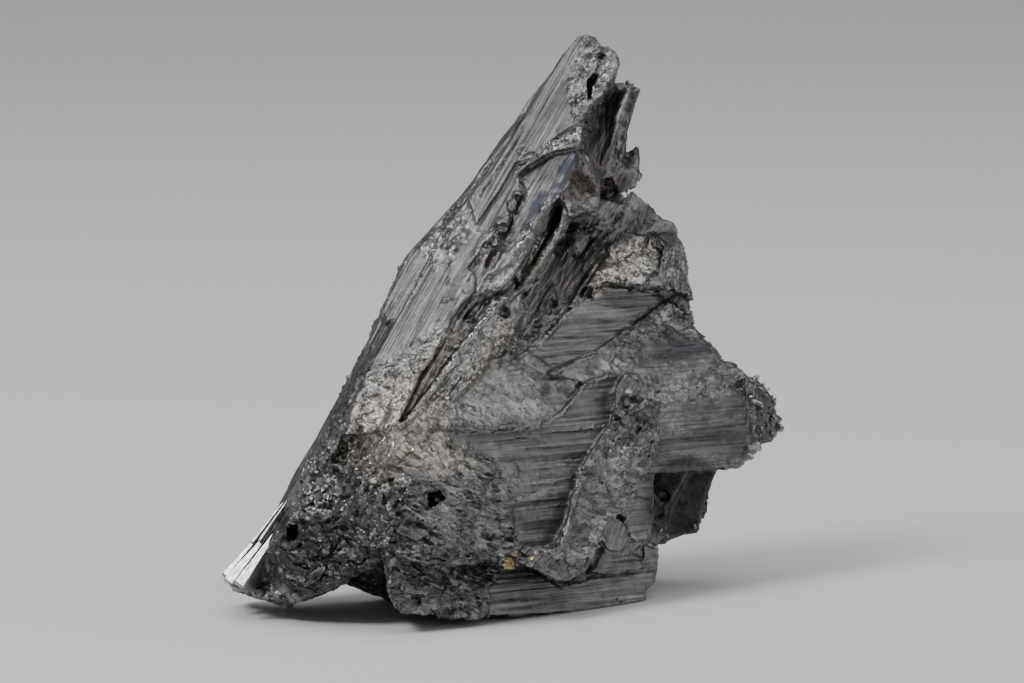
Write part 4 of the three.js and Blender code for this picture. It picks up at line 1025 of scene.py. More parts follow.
@dataclass(frozen=True)
class TintsAndPaintedLight:
    """Records the tints, the painted shade and the painted light on a skin, as layers of point colours.

    Attributes:
        ground: Where each kind of relief is.
        stains_and_painted_light: Ovals of colour: real stains and films, painted shade and painted light.
        level_below: Grain whose heading is lower than this counts as level, in degrees.
    """

    ground: Ground
    stains_and_painted_light: tuple[StainAndPaintedLight, ...] = STAINS_AND_PAINTED_LIGHT
    level_below: float = 30.0

    def amounts(self, points: np.ndarray, normals: np.ndarray) -> dict[Tint, np.ndarray]:
        """Find how much of each tint there is.

        Args:
            points: Points of the sheet frame, in mm.
            normals: Their normals.

        Returns:
            For each tint, an amount from 0 to 1 for each point.
        """
        facing = self.ground.facing(normals)
        amounts = {tint: np.zeros(len(points)) for tint in Tint}
        left, lined = self.ground.leftward(normals), self.ground.lined(points)
        amounts[Tint.GRIT] += (0.8 - 0.6 * lined) * (1 - facing) * (1 - left)
        amounts[Tint.STEEP] += (1 - facing) * np.maximum(left, 0.9 * lined)
        for patch in self.ground.patches:
            weight = patch.weight(points[:, 0], points[:, 2]) * facing
            kind = Tint.GRIT
            if patch.texture is LEDGES:
                kind = Tint.LEVEL if abs(patch.heading) < self.level_below else Tint.STEEP
            for tint in (Tint.GRIT, Tint.LEVEL, Tint.STEEP):
                target = float(tint is kind) * patch.lined
                amounts[tint] += weight * (target - amounts[tint])
        # These ovals lay real stains and films, and also painted shade and painted light.
        for stain in self.stains_and_painted_light:
            amounts[stain.tint] = np.maximum(amounts[stain.tint], stain.amount(points) * facing)
        return amounts

    def sharpness(self, mesh: bpy.types.Mesh, points: np.ndarray, normals: np.ndarray) -> np.ndarray:
        """Find how sharply the skin stands out.

        Args:
            mesh: The skin's mesh.
            points: Its points, in mm.
            normals: Their normals.

        Returns:
            For each point, a number that is low in hollows, 0.5 on flat ground and 1 on sharp edges.
        """
        ends = np.zeros(len(mesh.edges) * 2, np.int32)
        mesh.edges.foreach_get("vertices", ends)
        a, b = ends.reshape(-1, 2).T
        step = points[b] - points[a]
        length = np.linalg.norm(step, axis=1) + 1e-9
        slope = step / length[:, None]
        total, count = np.zeros(len(points)), np.zeros(len(points))
        np.add.at(total, a, -np.einsum("ij,ij->i", slope, normals[a]))
        np.add.at(total, b, np.einsum("ij,ij->i", slope, normals[b]))
        np.add.at(count, a, 1)
        np.add.at(count, b, 1)
        return np.clip(0.5 + 0.9 * total / np.maximum(count, 1), 0.34, 1)

    def apply(self, skin: bpy.types.Object) -> None:
        """Write the layers onto a skin.

        Args:
            skin: The skin, in the sheet frame.
        """
        points, normals = mesh_points(skin.data), mesh_normals(skin.data)
        amounts = self.amounts(points, normals)
        # Sharp edges are painted lighter and hollows painted darker from this: painted highlight and painted
        # crease shade.
        amounts[Tint.EDGE] = self.sharpness(skin.data, points, normals)
        layers: dict[str, np.ndarray] = {}
        for tint, amount in amounts.items():
            name, channel = tint.value
            layers.setdefault(name, np.ones((len(points), 4)))[:, channel] = amount
        for name, values in layers.items():
            layer = skin.data.color_attributes.new(name, "FLOAT_COLOR", "POINT")
            layer.data.foreach_set("color", values.astype(np.float32).ravel())


# ---- Materials -------------------------------------------------------------------------------------


class Signal:
    """A shader number that can be used in arithmetic."""

    def __init__(self, graph: "Graph", socket: bpy.types.NodeSocket) -> None:
        """Wrap an output socket of a graph."""
        self.graph = graph
        self.socket = socket

    def _math(self, operation: str, other: "Signal | float") -> "Signal":
        """Return a Math node's result on this signal and another value."""
        node = self.graph.node("Math", {"operation": operation}, {0: self, 1: other})
        return Signal(self.graph, node.outputs[0])

    def __add__(self, other: "Signal | float") -> "Signal":
        """Return the sum."""
        return self._math("ADD", other)

    __radd__ = __add__

    def __mul__(self, other: "Signal | float") -> "Signal":
        """Return the product."""
        return self._math("MULTIPLY", other)

    __rmul__ = __mul__

    def __sub__(self, other: "Signal | float") -> "Signal":
        """Return the difference."""
        return self._math("SUBTRACT", other)

    def __rsub__(self, other: float) -> "Signal":
        """Return a number minus this signal."""
        return self * -1.0 + other

    def within(self, low: float, high: float) -> "Signal":
        """Return the signal kept between two numbers."""
        return self._math("MAXIMUM", low)._math("MINIMUM", high)


@dataclass
class Graph:
    """The nodes of one material.

    Attributes:
        name: Name of the material.
        material: The material.
    """

    name: str
    material: bpy.types.Material = field(init=False)

    def __post_init__(self) -> None:
        """Make the material with its one shader."""
        self.material = bpy.data.materials.new(self.name)
        self.material.use_nodes = True

    def feed(self, slot: bpy.types.NodeSocket, value: object) -> None:
        """Link an input, or set it to a value.

        Args:
            slot: The input.
            value: A signal, an output socket, a number, a vector or a colour.
        """
        if isinstance(value, Signal):
            value = value.socket
        if isinstance(value, bpy.types.NodeSocket):
            self.material.node_tree.links.new(value, slot)
        else:
            slot.default_value = value

    def node(self, kind: str, settings: dict[str, object], inputs: dict[str | int, object]) -> bpy.types.Node:
        """Add a node.

        Args:
            kind: Node type, without its ShaderNode prefix.
            settings: The node's own settings.
            inputs: What feeds its sockets, by name or number.

        Returns:
            The node.
        """
        node = self.material.node_tree.nodes.new("ShaderNode" + kind)
        for key, value in settings.items():
            setattr(node, key, value)
        for key, value in inputs.items():
            self.feed(node.inputs[key], value)
        return node

    def vector(self, operation: str, first: object, second: object) -> bpy.types.Node:
        """Return a Vector Math node that works on two vectors."""
        return self.node("VectorMath", {"operation": operation}, {0: first, 1: second})

    def scaled(self, vector: bpy.types.NodeSocket, factor: Signal | float) -> bpy.types.NodeSocket:
        """Return a vector or a colour times a number."""
        return self.node("VectorMath", {"operation": "SCALE"}, {0: vector, "Scale": factor}).outputs[0]

    def place(self) -> bpy.types.NodeSocket:
        """Return the place on the object, in mm."""
        return self.scaled(self.node("TexCoord", {}, {}).outputs["Object"], 1 / MM)

    def grain_place(self, place: bpy.types.NodeSocket, axes: np.ndarray,
                    size: tuple[float, float, float]) -> bpy.types.NodeSocket:
        """Measure a place along the axes of a face.

        Args:
            place: The place, in mm.
            axes: The axes, one row each.
            size: Size of one grain along each axis, in mm.

        Returns:
            The place in grain sizes.
        """
        parts = [self.vector("DOT_PRODUCT", place, tuple(axis / length)) for axis, length in zip(axes, size)]
        return self.node("CombineXYZ", {}, {i: p.outputs["Value"] for i, p in enumerate(parts)}).outputs[0]

    def noise(self, place: bpy.types.NodeSocket, scale: float = 1.0, detail: float = 3.0) -> Signal:
        """Return noise from 0 to 1."""
        made = self.node("TexNoise", {}, {"Vector": place, "Scale": scale, "Detail": detail})
        return Signal(self, made.outputs["Fac"])

    def facets(self, place: bpy.types.NodeSocket, size: float) -> Signal:
        """Break the ground into small flat facets that each have a tilt of their own.

        Args:
            place: The place, in mm.
            size: Width of a facet, in mm.

        Returns:
            The facets' height, in mm.
        """
        cell = self.node("TexVoronoi", {}, {"Vector": place, "Scale": 1 / size})
        tilt = self.vector("SUBTRACT", cell.outputs["Color"], (0.5, 0.5, 0.5))
        away = self.vector("SUBTRACT", place, cell.outputs["Position"])
        return Signal(self, self.vector("DOT_PRODUCT", tilt.outputs[0], away.outputs[0]).outputs["Value"])

    def flakes(self, place: bpy.types.NodeSocket) -> Signal:
        """Return one number from 0 to 1 for each cell that is one unit wide."""
        cell = self.node("TexVoronoi", {}, {"Vector": place, "Scale": 1.0})
        return Signal(self, self.node("SeparateColor", {}, {0: cell.outputs["Color"]}).outputs[0])

    def layer(self, name: str) -> list[Signal]:
        """Read a recorded layer.

        Args:
            name: Name of the layer.

        Returns:
            Its four channels.
        """
        read = self.node("Attribute", {"attribute_name": name}, {})
        split = self.node("SeparateColor", {}, {0: read.outputs["Color"]})
        return [Signal(self, socket) for socket in (*split.outputs, read.outputs["Alpha"])]

    def mix(self, factor: Signal, base: object, over: object) -> bpy.types.NodeSocket:
        """Return one colour laid over another."""
        return self.node("Mix", {"data_type": "RGBA"}, {0: factor, 6: base, 7: over}).outputs[2]

    def bump(self, height: Signal) -> bpy.types.NodeSocket:
        """Return the normal of a surface raised by a height in mm."""
        return self.node("Bump", {}, {"Strength": 1.0, "Distance": MM, "Height": height}).outputs[0]

    def dress(self, **inputs: object) -> bpy.types.Material:
        """Set the shader's sockets and finish the material.

        Args:
            **inputs: What feeds each socket, by its name with underscores.

        Returns:
            The material.
        """
        shader = self.material.node_tree.nodes["Principled BSDF"]
        for key, value in inputs.items():
            self.feed(shader.inputs[key.replace("_", " ").title()], value)
        return self.material


@dataclass(frozen=True)
class AndoriteFinish:
    """Dark lead-grey metal with fine striations, glittering grit and a little tarnish, with painted shade,
    painted light and painted glints laid into its colour.

    Attributes:
        steel: Bare metal.
        warm: Metal with a thin straw-coloured film.
        tarnish: Blue and violet film.
        brown: Rusty film.
        white: Grains of a pale mineral.
        hair: Length, width and thickness of the fine striations, in mm.
        band: Length, width and thickness of the bands of striations, in mm.
        grit: Width of the coarser facets, in mm.
        slant: Heading, turn and lean of the flakes.
        flake: Length, width and thickness of a flake, in mm.
        painted_glint: Length, width and thickness of one painted glint, a bright speck laid into the colour,
            in mm.
    """

    steel: RGB = (0.185, 0.184, 0.185)
    warm: RGB = (0.27, 0.252, 0.222)
    tarnish: RGB = (0.062, 0.064, 0.084)
    brown: RGB = (0.125, 0.096, 0.082)
    white: RGB = (0.85, 0.85, 0.84)
    hair: tuple[float, float, float] = (9.0, 0.26, 0.26)
    band: tuple[float, float, float] = (8.0, 1.1, 1.1)
    grit: float = 0.5
    slant: tuple[float, float, float] = (-22, 20, 10)
    flake: tuple[float, float, float] = (1.3, 0.45, 0.45)
    painted_glint: tuple[float, float, float] = (0.5, 0.2, 0.2)

    def material(self) -> bpy.types.Material:
        """Build the material.

        Returns:
            The material.
        """
        g = Graph("andorite")
        place = g.place()
        warm, tarnish, brown, _ = g.layer("tints")
        dark, grit, bright, edge = g.layer("finish")
        level, steep, white, _ = g.layer("lines")
        mottle, fine = g.noise(place, 0.4, 4.0), g.noise(place, 2.6, 4.0)
        coarse, small = g.facets(place, self.grit), g.facets(place, self.grit * 0.4)
        hairs, bands = (
            (g.noise(g.grain_place(place, SHEET.row_basis(LEVEL), size)) - 0.5) * level
            + (g.noise(g.grain_place(place, SHEET.row_basis(STEEP), size)) - 0.5) * steep
            for size in (self.hair, self.band))
        axes = SHEET.row_basis(self.slant)
        flakes = g.flakes(g.grain_place(place, axes, self.flake)) - 0.5
        # Painted glints: bright specks laid into the colour where the metal would sparkle.
        painted_glints = g.noise(g.grain_place(place, axes, self.painted_glint), detail=1.0)
        # edge lightens sharp edges and darkens hollows, a painted highlight and painted crease shade; bright
        # adds painted light.
        tone = 0.5 + 0.6 * mottle + 0.6 * fine + 1.1 * (edge - 0.5) + 0.85 * bright + 2.5 * hairs \
            + 1.8 * bands
        tone = tone + flakes * (0.15 + 0.95 * grit + 0.3 * bright)
        # shine sets how strongly the painted glints show: more on grit and on painted light, less on painted
        # shade.
        shine = (0.2 + 0.7 * grit + 0.5 * bright) * (1.0 - 0.7 * dark)
        tone = tone + ((painted_glints - 0.62) * 6.0).within(0, 1) * shine
        # dark darkens the metal: mostly painted shade, partly darker ground.
        tone = tone * (1.0 - 0.62 * dark)
        stain = (hairs * 3.0 + fine * 1.6 + 0.3).within(0, 1)
        colour = g.mix(warm * 0.9, (*self.steel, 1), (*self.warm, 1))
        colour = g.mix(tarnish * stain, colour, (*self.tarnish, 1))
        colour = g.mix(brown * 0.85, colour, (*self.brown, 1))
        colour = g.mix(white, g.scaled(colour, tone.within(0.14, 2.8)), (*self.white, 1))
        rough = 0.34 + 0.2 * fine + 0.1 * brown - 0.12 * bright - 0.3 * (edge - 0.5) + 0.05 * dark
        glitter = 0.07 + 0.2 * grit + 0.2 * bright
        height = hairs * 0.14 + glitter * (coarse * 0.8 + small * 0.8) + fine * 0.03
        return g.dress(base_color=colour, roughness=rough.within(0.14, 0.75), metallic=0.94 - 0.94 * white,
                       normal=g.bump(height))


@dataclass(frozen=True)
class BladePaintedGlare:
    """Smooth metal with lines along the tail, painted far brighter than the rest: a painted reflection of the
    lamps on the flat plates.

    Attributes:
        painted_glare: The bright lines, a painted reflection.
        dull: The ground between them, also painted lighter than the rest of the andorite.
        face: Heading, turn and lean of the lines.
        line: Length, width and thickness of a line, in mm.
    """

    painted_glare: RGB = (0.86, 0.86, 0.84)
    dull: RGB = (0.3, 0.3, 0.31)
    face: tuple[float, float, float] = (54, -20, 0)
    line: tuple[float, float, float] = (6.0, 0.22, 0.22)

    def material(self) -> bpy.types.Material:
        """Build the material.

        Returns:
            The material.
        """
        g = Graph("andorite_painted_glare")
        place = g.place()
        lines = g.noise(g.grain_place(place, SHEET.row_basis(self.face), self.line))
        # Both colours paint a reflection: the plates are the same dark andorite, lit by the lamps.
        return g.dress(base_color=g.mix((lines * 2.2 - 0.6).within(0, 1), (*self.dull, 1), (*self.painted_glare, 1)),
                       roughness=0.26 + 0.16 * g.noise(place, 1.2), metallic=0.95,
                       normal=g.bump(lines * 0.06))


@dataclass(frozen=True)
class PyriteFinish:
    """Pale brass-yellow metal.

    Attributes:
        gold: The bare metal.
        deep: Its darker mottling.
    """

    gold: RGB = (0.66, 0.57, 0.34)
    deep: RGB = (0.34, 0.26, 0.13)

    def material(self) -> bpy.types.Material:
        """Build the material.

        Returns:
            The material.
        """
        g = Graph("pyrite")
        mottle = g.noise(g.place(), 2.2)
        return g.dress(base_color=g.mix((mottle * 1.6 - 0.4).within(0, 1), (*self.deep, 1), (*self.gold, 1)),
                       roughness=0.22 + 0.25 * mottle, metallic=1.0)


@dataclass(frozen=True)
class FloorFinish:
    """Plain pale matt floor.

    Attributes:
        pale: Its colour.
    """

    pale: RGB = (0.8, 0.8, 0.79)

    def material(self) -> bpy.types.Material:
        """Build the material."""
        return Graph("floor").dress(base_color=(*self.pale, 1), roughness=0.85)


# ---- The specimen ----------------------------------------------------------------------------------


def settled() -> bpy.types.Object:
    """Write the newest primitive's place into its mesh.

    Returns:
        The primitive.
    """
    piece = bpy.context.active_object
    select_only(piece)
    bpy.ops.object.transform_apply(location=True, rotation=True, scale=True)
    return piece


@dataclass
class Crystals:
    """Small crystals that are copied from one pattern.

    Attributes:
        seed: Chooses their places and turns.
        rng: The repeatable random numbers.
    """

    seed: int
    rng: np.random.Generator = field(init=False)

    def __post_init__(self) -> None:
        """Start the random numbers."""
        self.rng = np.random.default_rng(self.seed)

    def needle(self) -> bpy.types.Object:
        """Model a needle of length 1 and half width 1 that stands on the origin.

        Returns:
            The pattern.
        """
        bpy.ops.mesh.primitive_cylinder_add(vertices=5, radius=1, depth=1, location=(0, 0, 0.5))
        needle = settled()
        self._narrow(needle, lambda point: point.co.z > 0.9, 0.35)
        self._narrow(needle, lambda point: point.co.z < 0.1, 0.6)
        return needle

    def _narrow(self, pattern: bpy.types.Object, chosen: Callable[[bpy.types.MeshVertex], bool],
                factor: float) -> None:
        """Draw some points of an upright pattern together.

        Args:
            pattern: The pattern to change.
            chosen: Which points.
            factor: What their spread is multiplied by.
        """
        with editing(pattern, "vertices", chosen):
            bpy.ops.transform.resize(value=(factor, factor, 1))

    def turn(self, direction: Vector) -> Matrix:
        """Return the turn that stands a pattern along a direction, with a random spin."""
        return aim(direction, 6 * self.rng.random())

    def copies(self, pattern: bpy.types.Object, places: list[Matrix]) -> list[bpy.types.Object]:
        """Copy a pattern to each place and remove the pattern.

        Args:
            pattern: The pattern.
            places: Where each copy goes.

        Returns:
            The copies.
        """
        pieces = [copy_of(pattern, place) for place in places]
        bpy.data.objects.remove(pattern)
        return pieces


@dataclass
class Needles(Crystals):
    """Thin crystals that fill the recess beside the ribs and lie along its slope.

    Attributes:
        count: How many there are.
        corners: Outline of the recess on the sheet, in mm.
        heading: Which way they run, in degrees up from level.
    """

    count: int = 46
    corners: Line = ((1.2, 24.2), (3, 29.2), (4.8, 32.4), (8, 34.8), (10.2, 36.4), (12.4, 34.4), (8.2, 30.6),
                     (5.4, 26.6))
    heading: float = 57.0

    def build(self, carrier: bpy.types.Object) -> list[bpy.types.Object]:
        """Lay the needles.

        Args:
            carrier: What they lie on, in the sheet frame.

        Returns:
            The needles.
        """
        places = []
        corners = np.array(self.corners)
        low, high = corners.min(0), corners.max(0)
        while len(places) < self.count:
            u, v = low + (high - low) * self.rng.random(2)
            if inside_by(np.array([u]), np.array([v]), corners)[0] < 0:
                continue
            depth = depth_at(carrier, u, v)
            heading = self.heading + 7 * self.rng.standard_normal()
            along = Vector(basis(heading, 38, 20 + 8 * self.rng.random())[0])
            length = 1.4 + 2.6 * self.rng.random()
            width = 0.1 + 0.12 * self.rng.random()
            shape = Matrix.Diagonal((width, width * 1.6, length, 1))
            start = Vector((u, depth - 0.05, v)) - along * length * 0.4
            places.append(Matrix.Translation(start) @ self.turn(along) @ shape)
        return self.copies(self.needle(), places)


@dataclass
class Splinters(Crystals):
    """Long splinters that floor the open slots and fill their ends.

    Attributes:
        lines: Start and end, each as u, v and depth, and half width, in mm.
    """

    lines: tuple[tuple[float, ...], ...] = (
        (-2.2, 28.8, -6.1, 1.2, 36.4, -2.6, 0.8), (-1.9, 29.4, -6.8, -0.7, 31.6, -5.6, 0.34),
        (0.6, 28.6, -4.5, 4.3, 36.2, -1.5, 1.1), (0.7, 29.0, -5.2, 2.6, 32.6, -3.9, 0.42),
        (2.2, 33.0, -3.8, 4.0, 36.0, -2.6, 0.32), (1.4, 29.6, -4.2, 3.4, 33.0, -3.2, 0.5),
        (4.2, 32.4, 1.0, 5.8, 35.4, 1.6, 0.7), (-6.4, 9.4, -11.4, -5.6, 10.8, -11.2, 0.5),
        (-18.9, 6.4, -5.6, -18.3, 7.8, -5.4, 0.4),
    )

    def build(self) -> list[bpy.types.Object]:
        """Lay the splinters in the sheet frame.

        Returns:
            The splinters.
        """
        places = []
        for u0, v0, d0, u1, v1, d1, width in self.lines:
            start, end = Vector((u0, d0, v0)), Vector((u1, d1, v1))
            shape = Matrix.Diagonal((width, width, (end - start).length, 1))
            places.append(Matrix.Translation(start) @ self.turn(end - start) @ shape)
        return self.copies(self.needle(), places)


@dataclass
class Crumbs(Crystals):
    """Broken crumbs along the left edge, and glittering ones beside the slots and on the rims.

    Attributes:
        edge: Left edge that carries crumbs, on the sheet.
        step: How many are tried along each stretch of it.
        bands: Bands that carry small crumbs: start, end, half width and count.
    """

    edge: Line = ((-14.9, 17.4), (-13.4, 21), (-11.3, 25.2), (-10, 27.6), (-8.8, 30.9))
    step: int = 22
    bands: tuple[tuple[float, float, float, float, float, int], ...] = (
        (-3.0, 30.5, -0.2, 33.8, 0.45, 34), (6.0, 44.2, 6.4, 48.6, 0.6, 16),
        (8.0, 46.8, 9.0, 47.0, 0.3, 7), (-0.8, 21.6, 0.2, 24.0, 0.5, 16),
        (-5.6, 17.8, -3.2, 17.5, 0.6, 16), (9.2, 45.2, 10.8, 45.9, 0.3, 10),
        (1.6, 38.8, 3.4, 40.2, 0.2, 9), (3.4, 40.2, 5.6, 41.3, 0.2, 9),
        (-4.0, 26.0, -6.6, 21.6, 0.4, 26), (-6.6, 21.6, -9.2, 17.2, 0.4, 26),
        (-3.0, 30.0, -3.8, 26.4, 0.3, 14), (-2.4, 21.2, 0.6, 25.2, 0.5, 26),
        (-5.6, 18.4, -2.4, 21.2, 0.5, 22), (-9.0, 16.6, -3.0, 16.4, 0.3, 26),
        (8.6, 30.8, 12.8, 32.8, 0.5, 16), (9.2, 17.6, 10.2, 20.4, 0.3, 10),
        (6.2, 4.0, 10.0, 9.0, 0.2, 16), (10.0, 9.0, 13.2, 14.6, 0.2, 18),
        (8.9, 38.2, 11.3, 40.4, 0.3, 14), (12.6, 27.9, 15.8, 28.2, 0.2, 12),
        (15.9, 29.0, 15.2, 32.4, 0.2, 12), (-18.9, 7.9, -18.2, 6.2, 0.36, 16),
        (17.6, 22.9, 21.2, 20.4, 0.2, 16), (12.2, 12.2, 20.4, 12.8, 0.15, 20),
    )

    def crumb(self) -> bpy.types.Object:
        """Model an uneven crumb of half width 1.

        Returns:
            The pattern.
        """
        bpy.ops.mesh.primitive_ico_sphere_add(subdivisions=2, radius=1)
        crumb = settled()
        with editing(crumb):
            bpy.ops.transform.vertex_random(offset=0.35, seed=self.seed)
        return crumb

    def build(self, carrier: bpy.types.Object) -> list[bpy.types.Object]:
        """Scatter the crumbs.

        Args:
            carrier: What they lie on, in the sheet frame.

        Returns:
            The crumbs.
        """
        places = []
        for a, b in zip(self.edge[:-1], self.edge[1:]):
            for t in np.linspace(0, 1, self.step, endpoint=False):
                v = a[1] + t * (b[1] - a[1]) + 0.3 * self.rng.standard_normal()
                depth = -4.5 + 2.6 * self.rng.standard_normal()
                hit, place, _, _ = carrier.ray_cast(Vector((-FAR, depth, v)), Vector((1, 0, 0)))
                if hit:
                    places.append(self._place(place, 0.14 + 0.22 * self.rng.random() ** 2))
        for u0, v0, u1, v1, half, count in self.bands:
            for _ in range(count):
                t = self.rng.random()
                u = u0 + t * (u1 - u0) + half * (self.rng.random() - 0.5) * 2
                v = v0 + t * (v1 - v0) + half * (self.rng.random() - 0.5)
                depth = depth_at(carrier, u, v)
                if depth is not None:
                    places.append(self._place(Vector((u, depth, v)), 0.1 + 0.2 * self.rng.random() ** 2))
        return self.copies(self.crumb(), places)

    def _place(self, place: Vector, size: float) -> Matrix:
        """Return where one crumb goes."""
        turn = self.turn(Vector(self.rng.standard_normal(3)))
        return Matrix.Translation(place) @ turn @ Matrix.Diagonal((size, size * 0.8, size * 1.3, 1))


@dataclass
class Skin:
    """The grown body of the specimen: one closed skin over the solid and its small crystals.

    Attributes:
        weave: Spacing of the skin's net before it is thinned, in mm.
        calm: How many times the solid's facets are smoothed before the fine relief is added.
        heal: How many more times its inner creases are smoothed.
        shallow: Creases that smoothing lifts by this much are healed in full, in mm.
        faces: Triangles left after thinning.
        crease: Edges sharper than this stay sharp, in degrees.
        level: Height on the sheet of the cut between the upper and the lower parts, in mm.
        rib: Place on the sheet of the slanting cut between the upper parts, in mm.
        slant: Direction across that cut.
        middle: Place across the sheet of the cut between the lower parts, in mm.
        ground: The fine relief.
    """

    weave: float = 0.12
    calm: int = 10
    heal: int = 40
    shallow: float = 0.06
    faces: int = 640_000
    crease: float = 50.0
    level: float = 16.3
    rib: tuple[float, float] = (-0.6, 25.5)
    slant: tuple[float, float] = (0.8387, -0.5446)
    middle: float = 0.5
    ground: Ground = field(default_factory=Ground)

    def carrier(self, node: bpy.types.Object) -> bpy.types.Object:
        """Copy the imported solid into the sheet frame, merged.

        Args:
            node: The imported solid.

        Returns:
            The copy.
        """
        piece = bpy.data.objects.new("specimen_body", node.data.copy())
        piece.data.materials.clear()
        bpy.context.scene.collection.objects.link(piece)
        with editing(piece):
            bpy.ops.mesh.remove_doubles(threshold=1e-6)
        piece.data.transform(SHEET.to_row().inverted())
        bpy.context.view_layer.update()
        return piece

    def net(self, body: bpy.types.Object) -> None:
        """Close body and crystals into one evenly woven, calmed skin whose inner creases are healed.

        Args:
            body: The joined carrier and crystals, in the sheet frame.
        """
        apply_modifier(body, "REMESH", mode="VOXEL", voxel_size=self.weave, use_smooth_shade=True)
        apply_modifier(body, "SMOOTH", factor=0.5, iterations=self.calm)
        sharp, normals = mesh_points(body.data), mesh_normals(body.data)
        apply_modifier(body, "SMOOTH", factor=0.5, iterations=self.heal)
        step = mesh_points(body.data) - sharp
        outwards = smooth_step(np.einsum("ij,ij->i", step, normals) / self.shallow)
        move_points(body.data, sharp + step * outwards[:, None])

    def carve(self, body: bpy.types.Object) -> None:
        """Move the skin's points by the fine relief, and keep them above the ground.

        Args:
            body: The skin, in the sheet frame.
        """
        points = mesh_points(body.data)
        for fill in self.ground.fills:
            points[:, 1] -= fill.raised(points)
        move_points(body.data, points)
        normals = mesh_normals(body.data)
        moved = points + normals * self.ground.relief(points, normals)[:, None]
        row = np.array(SHEET.to_row())
        height = moved @ row[2, :3] + row[2, 3]
        up = np.linalg.inv(row)[:3, 2]
        move_points(body.data, moved + np.maximum(-height, 0)[:, None] * up)

    def cut(self, body: bpy.types.Object, name: str,
            planes: tuple[tuple[Vector, Vector], ...]) -> bpy.types.Object:
        """Copy the part of the body that lies behind every plane, and close it.

        Args:
            body: The whole skin, in the sheet frame.
            name: Name of the part.
            planes: Places and outward normals of the cuts.

        Returns:
            The closed part.
        """
        part = copy_of(body, Matrix.Identity(4))
        part.name = part.data.name = name
        with editing(part):
            for place, normal in planes:
                bpy.ops.mesh.select_all(action="SELECT")
                bpy.ops.mesh.bisect(plane_co=place, plane_no=normal, use_fill=True, clear_outer=True)
            bpy.ops.mesh.select_all(action="SELECT")
            bpy.ops.mesh.quads_convert_to_tris()
        return part

    def parts(self, body: bpy.types.Object) -> list[bpy.types.Object]:
        """Part the skin into four closed parts, each small enough to be kept whole.

        Args:
            body: The whole skin, in the sheet frame.

        Returns:
            The parts.
        """
        level, middle = Vector((0, 0, self.level)), Vector((self.middle, 0, 0))
        rib, along = (Vector((u, 0, v)) for u, v in (self.rib, self.slant))
        up, right = Vector((0, 0, 1)), Vector((1, 0, 0))
        return [self.cut(body, name, planes) for name, planes in {
            "specimen_blade": ((level, -up), (rib, along)),
            "specimen_shoulder": ((level, -up), (rib, -along)),
            "specimen_lumps": ((level, up), (middle, right)),
            "specimen_wall": ((level, up), (middle, -right)),
        }.items()]

    def build(self, node: bpy.types.Object) -> tuple[bpy.types.Object, list[bpy.types.Object]]:
        """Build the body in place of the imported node.

        Args:
            node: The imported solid.

        Returns:
            The whole skin in the sheet frame, and the closed parts that show it.
        """
        carrier = self.carrier(node)
        grown = [carrier, *Needles(seed=7).build(carrier), *Splinters(seed=9).build(),
                 *Crumbs(seed=11).build(carrier)]
        body = join_pieces(grown, "surface")
        self.net(body)
        self.carve(body)
        triangles = 2 * len(body.data.polygons)
        ratio = min(1.0, self.faces / triangles)
        apply_modifier(body, "DECIMATE", ratio=ratio, use_collapse_triangulate=True)
        TintsAndPaintedLight(self.ground).apply(body)
        parts, finish = self.parts(body), AndoriteFinish().material()
        for part in parts:
            part.data.transform(SHEET.to_row())
            select_only(part)
            bpy.ops.object.shade_smooth_by_angle(angle=math.radians(self.crease))
            part.data.materials.append(finish)
            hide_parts(node.name)
            ride(part)
        return body, parts


